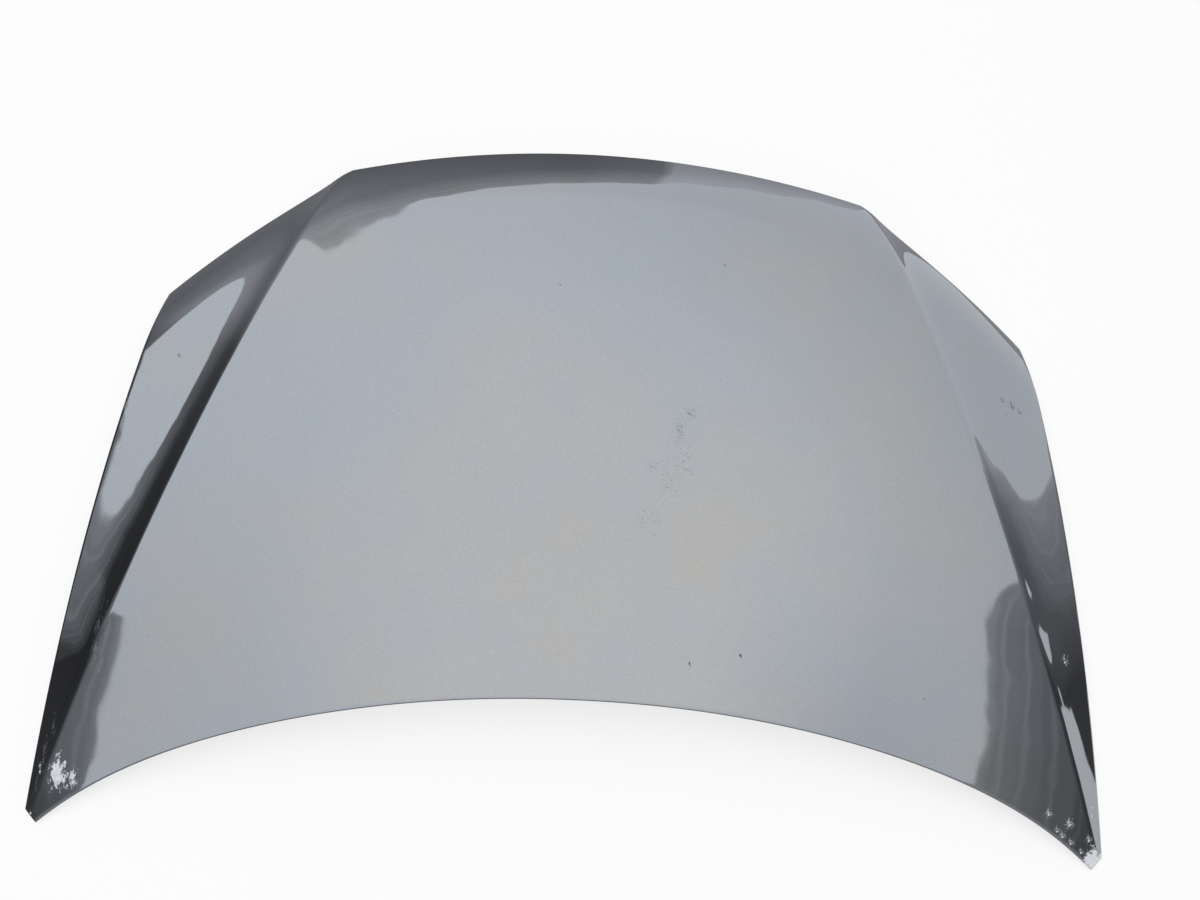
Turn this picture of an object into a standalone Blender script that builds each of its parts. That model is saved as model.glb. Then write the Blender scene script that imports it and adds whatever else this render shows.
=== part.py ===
# A pressed steel car bonnet, lying as it rests on a floor: painted outer skin with a folded hem, pressed
# inner frame, hinge and latch reinforcements with weld nuts, striker, rubber stops, prop rod bush and
# mastic beads.
# Plan coordinates: x runs from the centreline to the car's left, u runs forward from the middle of the
# rear edge. World coordinates: +X is the car's left, the nose points to -Y, +Z is up. Sizes are in metres.

import math

import bmesh
import bpy
from mathutils import Matrix, Vector
from mathutils.geometry import delaunay_2d_cdt

# Plan outline, at the line where the hem starts to fold
HALF_WIDTH = 0.735  # centreline to a rear tip
LENGTH = 0.820  # middle of the rear edge to the middle of the nose
REAR_SWEEP = 0.193  # rear tips behind the middle of the rear edge
REAR_POWER = 2.09  # roundness of the rear edge
REAR_HOOK = 0.18  # share of the sweep that comes in close to the tips
REAR_HOOK_POWER = 8
TIP_CUT_X = 0.016  # blunt end of a rear tip, across
TIP_CUT_U = 0.014  # blunt end of a rear tip, along
GRILLE_X = 0.399  # centreline to the corner where the nose meets the lamp line
NOSE_SWEEP = 0.044  # grille corners behind the middle of the nose
LAMP_X = 0.666  # centreline to the corner where the lamp line meets the side
LAMP_SWEEP = 0.249  # lamp corners behind the middle of the nose
LAMP_BOW = 0.011
SIDE_BOW = 0.011

# Crease line that divides the centre from the shoulders
CREASE_FRONT_SPACE = 0.014  # crease to the grille corner, across
CREASE_TIP_INSET = 0.004  # crease to the rear tip, across
CREASE_BOW = 0.014
CREASE_RADIUS = 0.006

# Crown of the skin
CROWN_ALONG = 0.0874  # fall along the car, over the length
CROWN_PEAK_U = 0.35
CROWN_REAR = 0.0783  # fall across the car at the tips, over the half width
CROWN_NOSE = 0.0891  # fall across the car at the nose, over the half width
CORNER_DROP = 0.003  # extra fall of the rear corners
CORNER_DROP_POWER = 6
LIP_WIDTH = 0.090  # band behind the nose that turns down
LIP_DROP = 0.016
STEP_REAR = 0.005  # height of the step outside the crease, at the tips
STEP_NOSE = 0.018  # the same at the nose
STEP_WIDTH = 0.028
SHOULDER_REACH = 0.100  # from the crease
SHOULDER_FALL = 0.0025  # extra fall of the shoulder over that reach

# Sheet metal
SKIN_SHEET = 0.0007
FRAME_SHEET = 0.0007
HEM_GAP = 0.00045  # between the skin, the frame's edge and the folded hem
HEM_FLANGE = 0.010
FRAME_EDGE_INSET = 0.0003  # frame's edge from the line where the hem folds
CLEARANCE = 0.0003  # between pieces that touch

# Inner frame
FRAME_TIP_CUT = 0.034  # frame's end from the rear tip
FRAME_FLANGE_SPARE = 0.0010  # flat border of the frame past the hem's flange
FRAME_WALL = 0.014  # run of the sloping wall beside it
CHANNEL_DEPTH = 0.025  # frame's floor below the skin
FRAME_LIFT = 0.005  # least height of the frame's floor above the plane that the hem rests on
WINDOW_FLANGE = 0.017
WINDOW_WALL = 0.013
WINDOW_SEAT = 0.0045  # window rims below the skin
WINDOW_RADIUS = 0.028
CENTRE_RIB = 0.092
DIAGONAL_RIB = 0.090
CROSS_RIB = 0.085
UPRIGHT_RIB = 0.085
CROSS_RIB_INSET = 0.490  # cross rib behind the nose
UPRIGHT_RIB_INSET = 0.054  # upright rib inside the grille corner
DIAGONAL_FRONT_X = 0.050
DIAGONAL_FRONT_INSET = 0.120  # diagonal rib's front end behind the nose
DIAGONAL_REAR_INSET = 0.135  # diagonal rib's rear end inside the rear tip
DIAGONAL_REAR_U = 0.030
REAR_RAIL = 0.095
SIDE_RAIL = 0.095
SIDE_RAIL_START = 0.35  # share of the side line where the side rail's straight edge starts
FRONT_RAIL = 0.100
REAR_WINDOW_INSET = 0.235  # outer end of the rear windows inside the rear tip
SIDE_WINDOW_LENGTH = 0.1425  # rear edge of the side windows behind the cross rib
DRAIN_RADIUS = 0.008
DRAIN_RAIL_X = 0.300
DRAIN_RAIL_INSET = 0.045

# Hinge pads, hinge reinforcements and their nuts
HINGE_INSET = 0.100  # hinge inside the rear tip
HINGE_ADVANCE = 0.163  # hinge ahead of the rear tip
HINGE_PAD_WIDTH = 0.062
HINGE_PAD_LENGTH = 0.136
HINGE_PLATE_WIDTH = 0.052
HINGE_PLATE_LENGTH = 0.126
HINGE_BOLT_SPACING = 0.070
PLATE_SHEET = 0.0015
PLATE_TURN_UP = 0.006

# Latch pad, its reinforcement and the striker
LATCH_INSET = 0.076  # latch centre behind the nose
LATCH_PAD_WIDTH = 0.170
LATCH_PAD_LENGTH = 0.062
LATCH_PLATE_WIDTH = 0.160
LATCH_PLATE_LENGTH = 0.052
LATCH_BOLT_SPACING = 0.058
STRIKER_BASE_WIDTH = 0.086
STRIKER_BASE_LENGTH = 0.044
STRIKER_BASE_SHEET = 0.003
STRIKER_BASE_CORNER = 0.008
STRIKER_CORNER_STEPS = 4
STRIKER_WIRE_RADIUS = 0.004
STRIKER_SPAN = 0.028  # between the middles of the loop's legs
STRIKER_DROP = 0.033  # loop's lowest point below its base
STRIKER_BEND = 0.010
STRIKER_BEND_STEPS = 5

# M8 weld nuts and bolts
BOLT_RADIUS = 0.0039
BOLT_CHAMFER = 0.0009
BOLT_HEAD = 0.0053
BOLT_HEAD_FLATS = 0.013
BOLT_FLANGE_RADIUS = 0.0088
BOLT_FLANGE_TOP_RADIUS = 0.0070
BOLT_FLANGE = 0.0014
BOLT_TIP = 0.0020  # bolt past its nut
NUT_BORE_RADIUS = 0.0042
NUT_FLATS = 0.013
NUT_HEIGHT = 0.0065
BOLT_HOLE_RADIUS = 0.0045
CUTTER_SPARE = 0.012  # how far a cutter runs past the faces it cuts

# Rubber stops, prop rod bush and mastic beads
STOP_SPACE = 0.054  # stop inside the grille corner
STOP_INSET = 0.049  # stop's centre behind the nose edge
STOP_PAD = 0.034
STOP_RADIUS = 0.012
STOP_WAIST_RADIUS = 0.0103
STOP_FOOT_RADIUS = 0.0111
STOP_END_RADIUS = 0.0096
STOP_HEIGHT = 0.014
STOP_RIM = 0.003  # height of the stop's rim under the frame
STOP_EDGE = 0.002
STOP_NECK_RADIUS = 0.0047
STOP_HEAD_RADIUS = 0.0068
STOP_HEAD_EDGE = 0.002
STOP_HEAD_HEIGHT = 0.007
STOP_TOP_RADIUS = 0.0033
BUSH_SPACE = 0.130  # bush inside the left stop
BUSH_FLANGE_RADIUS = 0.0105
BUSH_FLANGE_END_RADIUS = 0.0099
BUSH_FLANGE = 0.0022
BUSH_NECK_RADIUS = 0.0067
BUSH_BORE_RADIUS = 0.0045
BUSH_LIP_RADIUS = 0.0076
BUSH_LIP_HEIGHT = 0.0050
BUSH_TOP_RADIUS = 0.0060
BUSH_CHAMFER = 0.0010
BEAD_WIDTH = 0.013
BEAD_LENGTH = 0.030
BEAD_TAPER = 0.85

# Mesh density
CENTRE_COLUMNS = 10
CORNER_COLUMNS = 2
CORNER_SHARE = 0.02  # share of the centre's width in one corner column
SHOULDER_COLUMNS = 10
ROWS = 20
NOSE_CROWDING = 1.5  # rows close up towards the nose
REAR_CROWDING = 1.15  # and a little towards the rear tips
CORNER_CROWDING = 1.2  # columns close up towards the corners of the centre
SHOULDER_CROWDING = 1.8  # columns close up towards the crease
SIDE_CROWDING = 1.3  # and a little towards the side
FOLD_STEPS = 3
LOOP_STEP = 0.055
FLOOR_STEP = 0.060
TIP_STEPS = 6
FLOOR_SPACE = 0.013  # least distance from a floor point to any other
LINE_SPACE = 0.97  # a fold line keeps the points that lie this share of its inset from the outline
FILLET_STEPS = 3
SLIGHT_TURN = 0.35  # radians, below which a corner gets one step
HOLE_SIDES = 10
ROUND_SIDES = 16
BORE_SIDES = 12
SLIVER_AREA = 2e-8  # a triangle this small fills only the rounding of a straight edge
SMOOTH_ANGLE = math.radians(35)

LAMP_U = LENGTH - LAMP_SWEEP
CREASE_FRONT_X = GRILLE_X + CREASE_FRONT_SPACE
CROSS_RIB_U = LENGTH - CROSS_RIB_INSET
UPRIGHT_RIB_X = GRILLE_X - UPRIGHT_RIB_INSET
DIAGONAL_REAR_X = HALF_WIDTH - DIAGONAL_REAR_INSET
REAR_WINDOW_X = HALF_WIDTH - REAR_WINDOW_INSET
SIDE_WINDOW_U = CROSS_RIB_U - CROSS_RIB / 2 - SIDE_WINDOW_LENGTH
HINGE_X = HALF_WIDTH - HINGE_INSET
HINGE_U = HINGE_ADVANCE - REAR_SWEEP
STOP_X = GRILLE_X - STOP_SPACE
BUSH_X = STOP_X - BUSH_SPACE
TIP_U = TIP_CUT_U - REAR_SWEEP
CREASE_TIP_X = HALF_WIDTH - CREASE_TIP_INSET
CREASE_TIP_U = TIP_U - TIP_CUT_U * CREASE_TIP_INSET / TIP_CUT_X
GRILLE_U = LENGTH - NOSE_SWEEP
FOLD_RADIUS = (2 * SKIN_SHEET + FRAME_SHEET + 2 * HEM_GAP) / 2
FRAME_SEAT = SKIN_SHEET + HEM_GAP
FRAME_FLANGE = HEM_FLANGE + FRAME_FLANGE_SPARE
GRILLE_SHARE = 1 - CORNER_COLUMNS * CORNER_SHARE


def clear_scene():
    for item in list(bpy.data.objects):
        bpy.data.objects.remove(item, do_unlink=True)


def clamp(value, low=0.0, high=1.0):
    return max(low, min(high, value))


# The outline and the crease in plan


def rear_u(x):
    share = abs(x) / (HALF_WIDTH - TIP_CUT_X)
    bend = (1 - REAR_HOOK) * share**REAR_POWER + REAR_HOOK * share**REAR_HOOK_POWER
    return -REAR_SWEEP * bend


def nose_u(x):
    return LENGTH - NOSE_SWEEP * (x / GRILLE_X) ** 2


def bowed(start, end, bow, share):
    return start.lerp(end, share) + 4 * share * (1 - share) * bow


def lamp_line(share):
    return bowed(Vector((GRILLE_X, GRILLE_U)), Vector((LAMP_X, LAMP_U)), Vector((0, LAMP_BOW)), share)


def side_line(share):
    return bowed(Vector((HALF_WIDTH, TIP_U)), Vector((LAMP_X, LAMP_U)), Vector((SIDE_BOW, 0)), share)


def front_u(x):
    x = abs(x)
    if x <= GRILLE_X:
        return nose_u(x)
    return lamp_line((x - GRILLE_X) / (LAMP_X - GRILLE_X)).y


def crease_x(u):
    share = (u - CREASE_TIP_U) / (GRILLE_U - CREASE_TIP_U)
    return CREASE_TIP_X + (CREASE_FRONT_X - CREASE_TIP_X) * share + 4 * CREASE_BOW * share * (1 - share)


def crease_end():
    """The point where the crease runs out over the lamp line."""
    x = CREASE_FRONT_X
    for _ in range(12):
        x = crease_x(front_u(x))
    return Vector((x, front_u(x)))


def crease_line(share):
    u = CREASE_TIP_U + (crease_end().y - CREASE_TIP_U) * share
    return Vector((crease_x(u), u))


def centre_rear(share):
    corner_x = HALF_WIDTH - TIP_CUT_X
    if share <= GRILLE_SHARE:
        x = corner_x * share / GRILLE_SHARE
        return Vector((x, rear_u(x)))
    past = (share - GRILLE_SHARE) / (1 - GRILLE_SHARE)
    return Vector((corner_x, -REAR_SWEEP)).lerp(Vector((CREASE_TIP_X, CREASE_TIP_U)), past)


def centre_front(share):
    if share <= GRILLE_SHARE:
        x = GRILLE_X * share / GRILLE_SHARE
        return Vector((x, nose_u(x)))
    x = GRILLE_X + (crease_end().x - GRILLE_X) * (share - GRILLE_SHARE) / (1 - GRILLE_SHARE)
    return Vector((x, front_u(x)))


def centreline(share):
    return Vector((0, LENGTH * share))


def shoulder_rear(share):
    return Vector((CREASE_TIP_X, CREASE_TIP_U)).lerp(Vector((HALF_WIDTH, TIP_U)), share)


def shoulder_front(share):
    start = crease_end().x
    x = start + (LAMP_X - start) * share
    return Vector((x, front_u(x)))


def patch_point(rear, front, inner, outer, across, along):
    """A point of the patch that four edge curves enclose, each given as a function from 0 to 1."""
    sides = rear(across).lerp(front(across), along) + inner(along).lerp(outer(along), across)
    start = rear(0).lerp(front(0), along)
    end = rear(1).lerp(front(1), along)
    return sides - start.lerp(end, across)


# The skin's outer surface


def crown(x, u):
    share = clamp((u + REAR_SWEEP) / (LENGTH + REAR_SWEEP))
    across = CROWN_REAR + (CROWN_NOSE - CROWN_REAR) * share
    height = -CROWN_ALONG * ((u - CROWN_PEAK_U) / LENGTH) ** 2 - across * (x / HALF_WIDTH) ** 2
    height -= CORNER_DROP * (1 - share) * (abs(x) / HALF_WIDTH) ** CORNER_DROP_POWER
    lip = max(0.0, 1 - (front_u(x) - u) / LIP_WIDTH)
    height -= LIP_DROP * lip * lip
    past = abs(x) - crease_x(u)
    past = (past + math.hypot(past, CREASE_RADIUS)) / 2
    step = STEP_REAR + (STEP_NOSE - STEP_REAR) * share
    step *= 1 - math.exp(-past / STEP_WIDTH)
    return height - step - SHOULDER_FALL * (past / SHOULDER_REACH) ** 2


# The crown is pitched so that the rear tips and the lamp corners rest on the floor together
PITCH = (crown(HALF_WIDTH, TIP_U) - crown(LAMP_X, LAMP_U)) / (LAMP_U - TIP_U)


def surface(x, u):
    return crown(x, u) + PITCH * (u - TIP_U)


def up_normal(x, u):
    reach = 0.001
    slope_x = (surface(x + reach, u) - surface(x - reach, u)) / (2 * reach)
    slope_u = (surface(x, u + reach) - surface(x, u - reach)) / (2 * reach)
    if abs(x) < 1e-9:
        slope_x = 0.0
    return Vector((-slope_x, slope_u, 1)).normalized()


def lifted(point, depth):
    """The world point at a depth under the skin: square to it as far as the hem goes, then straight down."""
    x, u = point
    square = min(depth, 2 * FOLD_RADIUS)
    place = Vector((x, -u, surface(x, u))) - square * up_normal(x, u)
    place.z -= depth - square
    return place


# Plan paths


def outward_steps(path):
    """For each point of the half outline, the mitred step that moves it outwards by one metre."""
    steps = []
    for i, point in enumerate(path):
        normals = []
        for a, b in ((i - 1, i), (i, i + 1)):
            if a >= 0 and b < len(path):
                run = (path[b] - path[a]).normalized()
                normals.append(Vector((run.y, -run.x)))
        if len(normals) == 1:
            steps.append(Vector((0, math.copysign(1, normals[0].y))))
        else:
            steps.append((normals[0] + normals[1]) / (1 + normals[0].dot(normals[1])))
    return steps


def distance_to(path, point, closed=False):
    nearest = math.inf
    for i in range(0 if closed else 1, len(path)):
        start = path[i - 1]
        run = path[i] - start
        share = clamp((point - start).dot(run) / max(run.length_squared, 1e-12))
        nearest = min(nearest, (point - start - share * run).length)
    return nearest


def inside(loop, point):
    found = False
    for i, end in enumerate(loop):
        start = loop[i - 1]
        if (start.y > point.y) != (end.y > point.y):
            cross = start.x + (point.y - start.y) * (end.x - start.x) / (end.y - start.y)
            if point.x < cross:
                found = not found
    return found


def crossing(start_a, end_a, start_b, end_b):
    """Where two straight lines in plan meet."""
    run_a = end_a - start_a
    run_b = end_b - start_b
    share = (start_b - start_a).cross(run_b) / run_a.cross(run_b)
    return start_a + share * run_a


def offset_line(start, end, distance):
    """The line moved to its right by a distance."""
    run = (end - start).normalized()
    step = distance * Vector((run.y, -run.x))
    return start + step, end + step


def rounded_loop(corners, grow, radius):
    """A closed loop: the polygon's sides moved out by grow, and its corners rounded to radius."""
    sides = [offset_line(corners[i - 1], corners[i], grow) for i in range(len(corners))]
    points = []
    for i, side in enumerate(sides):
        following = sides[(i + 1) % len(sides)]
        run_in = (side[1] - side[0]).normalized()
        run_out = (following[1] - following[0]).normalized()
        corner = crossing(*side, *following)
        turn = math.atan2(run_in.cross(run_out), run_in.dot(run_out))
        reach = radius * math.tan(abs(turn) / 2)
        centre = corner - reach * run_in + math.copysign(radius, turn) * Vector((-run_in.y, run_in.x))
        first = corner - reach * run_in - centre
        steps = FILLET_STEPS if abs(turn) > SLIGHT_TURN else 1
        for k in range(steps + 1):
            points.append(centre + Matrix.Rotation(turn * k / steps, 2) @ first)
    return subdivided(points, LOOP_STEP)


def subdivided(loop, step):
    points = []
    for i, end in enumerate(loop):
        start = loop[i - 1]
        count = max(1, round((end - start).length / step))
        points += [start.lerp(end, (k + 1) / count) for k in range(count)]
    return points


def circle(centre, radius):
    turn = 2 * math.pi / HOLE_SIDES
    reach = radius / math.cos(turn / 2)
    return [centre + reach * Vector((math.cos(turn * k), math.sin(turn * k))) for k in range(HOLE_SIDES)]


def rectangle(centre, width, length):
    half = Vector((width / 2, length / 2))
    return [centre + Vector((half.x * a, half.y * b)) for a, b in ((-1, -1), (1, -1), (1, 1), (-1, 1))]


# Objects, materials and modifiers


def material(name, colour, roughness, metallic):
    made = bpy.data.materials.new(name)
    made.use_nodes = True
    shader = made.node_tree.nodes["Principled BSDF"]
    shader.inputs["Base Color"].default_value = (*colour, 1)
    shader.inputs["Roughness"].default_value = roughness
    shader.inputs["Metallic"].default_value = metallic
    made.diffuse_color = (*colour, 1)
    return made


def new_object(name, bm, finish, place=None, collection=None):
    mesh = bpy.data.meshes.new(name)
    bm.to_mesh(mesh)
    bm.free()
    mesh.materials.append(finish)
    made = bpy.data.objects.new(name, mesh)
    (collection or PARTS).objects.link(made)
    made.parent = ROOT
    if place:
        made.matrix_local = place
    return made


def new_cutter(name, bm, place=None):
    cutter = new_object(name, bm, STEEL, place, CUTTERS)
    cutter.hide_render = True
    cutter.display_type = "WIRE"
    return cutter


def boolean(target, cutter, operation):
    modifier = target.modifiers.new(cutter.name, "BOOLEAN")
    modifier.operation = operation
    modifier.object = cutter
    modifier.solver = "EXACT"


def solidify(target, thickness):
    modifier = target.modifiers.new("sheet", "SOLIDIFY")
    modifier.thickness = thickness
    modifier.offset = -1
    modifier.use_even_offset = True


def mirror(target):
    modifier = target.modifiers.new("other half", "MIRROR")
    modifier.use_clip = True
    modifier.merge_threshold = 0.0001


def smooth_round(target):
    target.data.shade_smooth()
    target.data.set_sharp_from_angle(angle=SMOOTH_ANGLE)


def prism(sides, radius, low, high, top_radius=None):
    bm = bmesh.new()
    bmesh.ops.create_cone(
        bm,
        cap_ends=True,
        segments=sides,
        radius1=radius,
        radius2=radius if top_radius is None else top_radius,
        depth=high - low,
        matrix=Matrix.Translation((0, 0, (low + high) / 2)),
    )
    return bm


def turned(name, profile, finish, place):
    """A turned piece: the profile's (radius, height) points run down its outer side."""
    bm = bmesh.new()
    closed = profile[0] == profile[-1]
    points = [bm.verts.new((radius, 0, height)) for radius, height in profile[closed:]]
    for start, end in zip(points, points[1:]):
        bm.edges.new((start, end))
    if closed:
        bm.edges.new((points[-1], points[0]))
    made = new_object(name, bm, finish, place)
    modifier = made.modifiers.new("turn", "SCREW")
    modifier.steps = modifier.render_steps = ROUND_SIDES
    modifier.use_merge_vertices = True
    modifier.merge_threshold = 0.0001
    return made


# Outer skin


def skin_shares():
    """The columns across the half skin, as (is_shoulder, share), and the rows along it."""
    columns = []
    for k in range(CENTRE_COLUMNS):
        columns.append((False, GRILLE_SHARE * (1 - (1 - k / CENTRE_COLUMNS) ** CORNER_CROWDING)))
    for k in range(CORNER_COLUMNS):
        columns.append((False, GRILLE_SHARE + (1 - GRILLE_SHARE) * k / CORNER_COLUMNS))
    for k in range(SHOULDER_COLUMNS + 1):
        share = (k / SHOULDER_COLUMNS) ** SHOULDER_CROWDING
        columns.append((True, 1 - (1 - share) ** SIDE_CROWDING))
    rows = [1 - (1 - (k / ROWS) ** REAR_CROWDING) ** NOSE_CROWDING for k in range(ROWS + 1)]
    return columns, rows


def skin_point(is_shoulder, across, along):
    if is_shoulder:
        return patch_point(shoulder_rear, shoulder_front, crease_line, side_line, across, along)
    return patch_point(centre_rear, centre_front, centreline, crease_line, across, along)


def half_outline(columns, rows):
    """Half the outline in plan, from the middle of the rear edge round the tip to the middle of the nose."""
    path = [skin_point(*column, 0) for column in columns]
    path += [skin_point(True, 1, along) for along in rows[1:]]
    path += [skin_point(*column, 1) for column in reversed(columns[:-1])]
    return path


def fold_ring(bm, ring, path, steps, outwards, depth):
    """Extrudes the open edge of the skin and moves it to the hem's next line."""
    order = {tuple(vert.co): i for i, vert in enumerate(ring)}
    edges = [bm.edges.get((a, b)) for a, b in zip(ring, ring[1:])]
    made = bmesh.ops.extrude_edge_only(bm, edges=edges)["geom"]
    fresh = [item for item in made if isinstance(item, bmesh.types.BMVert)]
    fresh.sort(key=lambda vert: order[tuple(vert.co)])
    for vert, point, step in zip(fresh, path, steps):
        vert.co = lifted(point + outwards * step, depth)
    return fresh


def make_skin(columns, rows, path):
    bm = bmesh.new()
    across = len(columns)
    bmesh.ops.create_grid(bm, x_segments=across - 1, y_segments=len(rows) - 1, size=1)
    bm.verts.ensure_lookup_table()
    for index, vert in enumerate(bm.verts):
        vert.co = lifted(skin_point(*columns[index % across], rows[index // across]), 0)
    ring = [bm.verts[i] for i in range(across)]
    ring += [bm.verts[j * across + across - 1] for j in range(1, len(rows))]
    ring += [bm.verts[(len(rows) - 1) * across + i] for i in reversed(range(across - 1))]
    steps = outward_steps(path)
    for k in range(1, FOLD_STEPS + 1):
        turn = math.pi * k / FOLD_STEPS
        outwards = FOLD_RADIUS * math.sin(turn)
        ring = fold_ring(bm, ring, path, steps, outwards, FOLD_RADIUS * (1 - math.cos(turn)))
    fold_ring(bm, ring, path, steps, -HEM_FLANGE, 2 * FOLD_RADIUS)
    bmesh.ops.recalc_face_normals(bm, faces=bm.faces)
    if max(bm.faces, key=lambda face: face.calc_center_median().z).normal.z < 0:
        bmesh.ops.reverse_faces(bm, faces=bm.faces)
    skin = new_object("outer_skin", bm, PAINT)
    mirror(skin)
    solidify(skin, SKIN_SHEET)
    smooth_round(skin)
    return skin


# Inner frame


def window_corners():
    """The frame's windows left of the centreline, each a polygon that runs counter-clockwise."""
    centre = Vector((CENTRE_RIB / 2, 0)), Vector((CENTRE_RIB / 2, LENGTH))
    diagonal_front = Vector((DIAGONAL_FRONT_X, LENGTH - DIAGONAL_FRONT_INSET))
    diagonal_rear = Vector((DIAGONAL_REAR_X, DIAGONAL_REAR_U))
    inner = offset_line(diagonal_front, diagonal_rear, DIAGONAL_RIB / 2)
    outer = offset_line(diagonal_front, diagonal_rear, -DIAGONAL_RIB / 2)
    cross_rear = Vector((0, CROSS_RIB_U - CROSS_RIB / 2)), Vector((1, CROSS_RIB_U - CROSS_RIB / 2))
    cross_front = Vector((0, CROSS_RIB_U + CROSS_RIB / 2)), Vector((1, CROSS_RIB_U + CROSS_RIB / 2))
    side = offset_line(side_line(1), side_line(SIDE_RAIL_START), SIDE_RAIL)
    lamp = offset_line(lamp_line(0), lamp_line(1), FRONT_RAIL)
    nose = offset_line(Vector((0, LENGTH)), Vector((GRILLE_X, GRILLE_U)), FRONT_RAIL)
    upright_in = Vector((UPRIGHT_RIB_X - UPRIGHT_RIB / 2, 0)), Vector((UPRIGHT_RIB_X - UPRIGHT_RIB / 2, 1))
    upright_out = Vector((UPRIGHT_RIB_X + UPRIGHT_RIB / 2, 0)), Vector((UPRIGHT_RIB_X + UPRIGHT_RIB / 2, 1))
    end = Vector((REAR_WINDOW_X, 0)), Vector((REAR_WINDOW_X, 1))
    rear_side = Vector((0, SIDE_WINDOW_U)), Vector((1, SIDE_WINDOW_U))
    middle_x = (centre[0].x + REAR_WINDOW_X) / 2
    rear_window = [
        Vector((centre[0].x, rear_u(centre[0].x) + REAR_RAIL)),
        Vector((middle_x, rear_u(middle_x) + REAR_RAIL)),
        Vector((REAR_WINDOW_X, rear_u(REAR_WINDOW_X) + REAR_RAIL)),
        crossing(*end, *inner),
        crossing(*inner, *cross_rear),
        crossing(*centre, *cross_rear),
    ]
    centre_window = [
        crossing(*centre, *cross_front),
        crossing(*inner, *cross_front),
        crossing(*inner, *centre),
    ]
    side_window = [
        crossing(*outer, *rear_side),
        crossing(*side, *rear_side),
        crossing(*side, *cross_rear),
        crossing(*outer, *cross_rear),
    ]
    lamp_window = [
        crossing(*upright_out, *cross_front),
        crossing(*side, *cross_front),
        crossing(*side, *lamp),
        crossing(*upright_out, *lamp),
    ]
    nose_window = [
        crossing(*outer, *upright_in),
        crossing(*upright_in, *nose),
        crossing(*outer, *nose),
    ]
    return [rear_window, centre_window, side_window, lamp_window, nose_window]


def pad_place(x, u, depth, level=False):
    """A flat pad's frame: its middle on the top face of the inner frame, +Z out of it, +Y to the rear."""
    middle = Vector((x, -u, lifted(Vector((x, u)), depth).z))
    up = Vector((0, 0, 1)) if level else up_normal(x, u)
    across = Vector((1, 0, 0))
    rearward = up.cross(across).normalized()
    across = rearward.cross(up)
    place = Matrix((across, rearward, up)).transposed().to_4x4()
    place.translation = middle
    return place


def on_plane(place, point):
    middle = place.translation
    up = place.col[2]
    x, y = point.x, -point.y
    return Vector((x, y, middle.z - (up.x * (x - middle.x) + up.y * (y - middle.y)) / up.z))


def frame_depth(point, outline, windows):
    """Depth of the frame's top face under the skin: flat flanges, sloping walls and a deep floor."""
    share = clamp((distance_to(outline, point) - FRAME_FLANGE) / FRAME_WALL)
    depth = FRAME_SEAT + (CHANNEL_DEPTH - FRAME_SEAT) * share
    for window in windows:
        share = clamp((distance_to(window, point, True) - WINDOW_FLANGE) / WINDOW_WALL)
        depth = min(depth, WINDOW_SEAT + (CHANNEL_DEPTH - WINDOW_SEAT) * share)
    rest = surface(HALF_WIDTH, TIP_U) - 2 * FOLD_RADIUS
    deepest = surface(*point) - rest - FRAME_LIFT - FRAME_SHEET
    return max(FRAME_SEAT, min(depth, deepest))


def add_loop(points, edges, loop, closed=True):
    first = len(points)
    points += loop
    edges += [(first + k, first + k + 1) for k in range(len(loop) - 1)]
    if closed:
        edges.append((first + len(loop) - 1, first))


def without_tip(path):
    """The half outline with its rear tip cut off straight, with points along the cut."""
    tip = Vector((HALF_WIDTH, TIP_U))
    middle = path.index(min(path, key=lambda point: (point - tip).length))
    rear = [point for point in path[:middle] if (point - tip).length > FRAME_TIP_CUT]
    front = [point for point in path[middle:] if (point - tip).length > FRAME_TIP_CUT]
    cut = [rear[-1].lerp(front[0], k / TIP_STEPS) for k in range(1, TIP_STEPS)]
    return rear + cut + front


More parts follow.
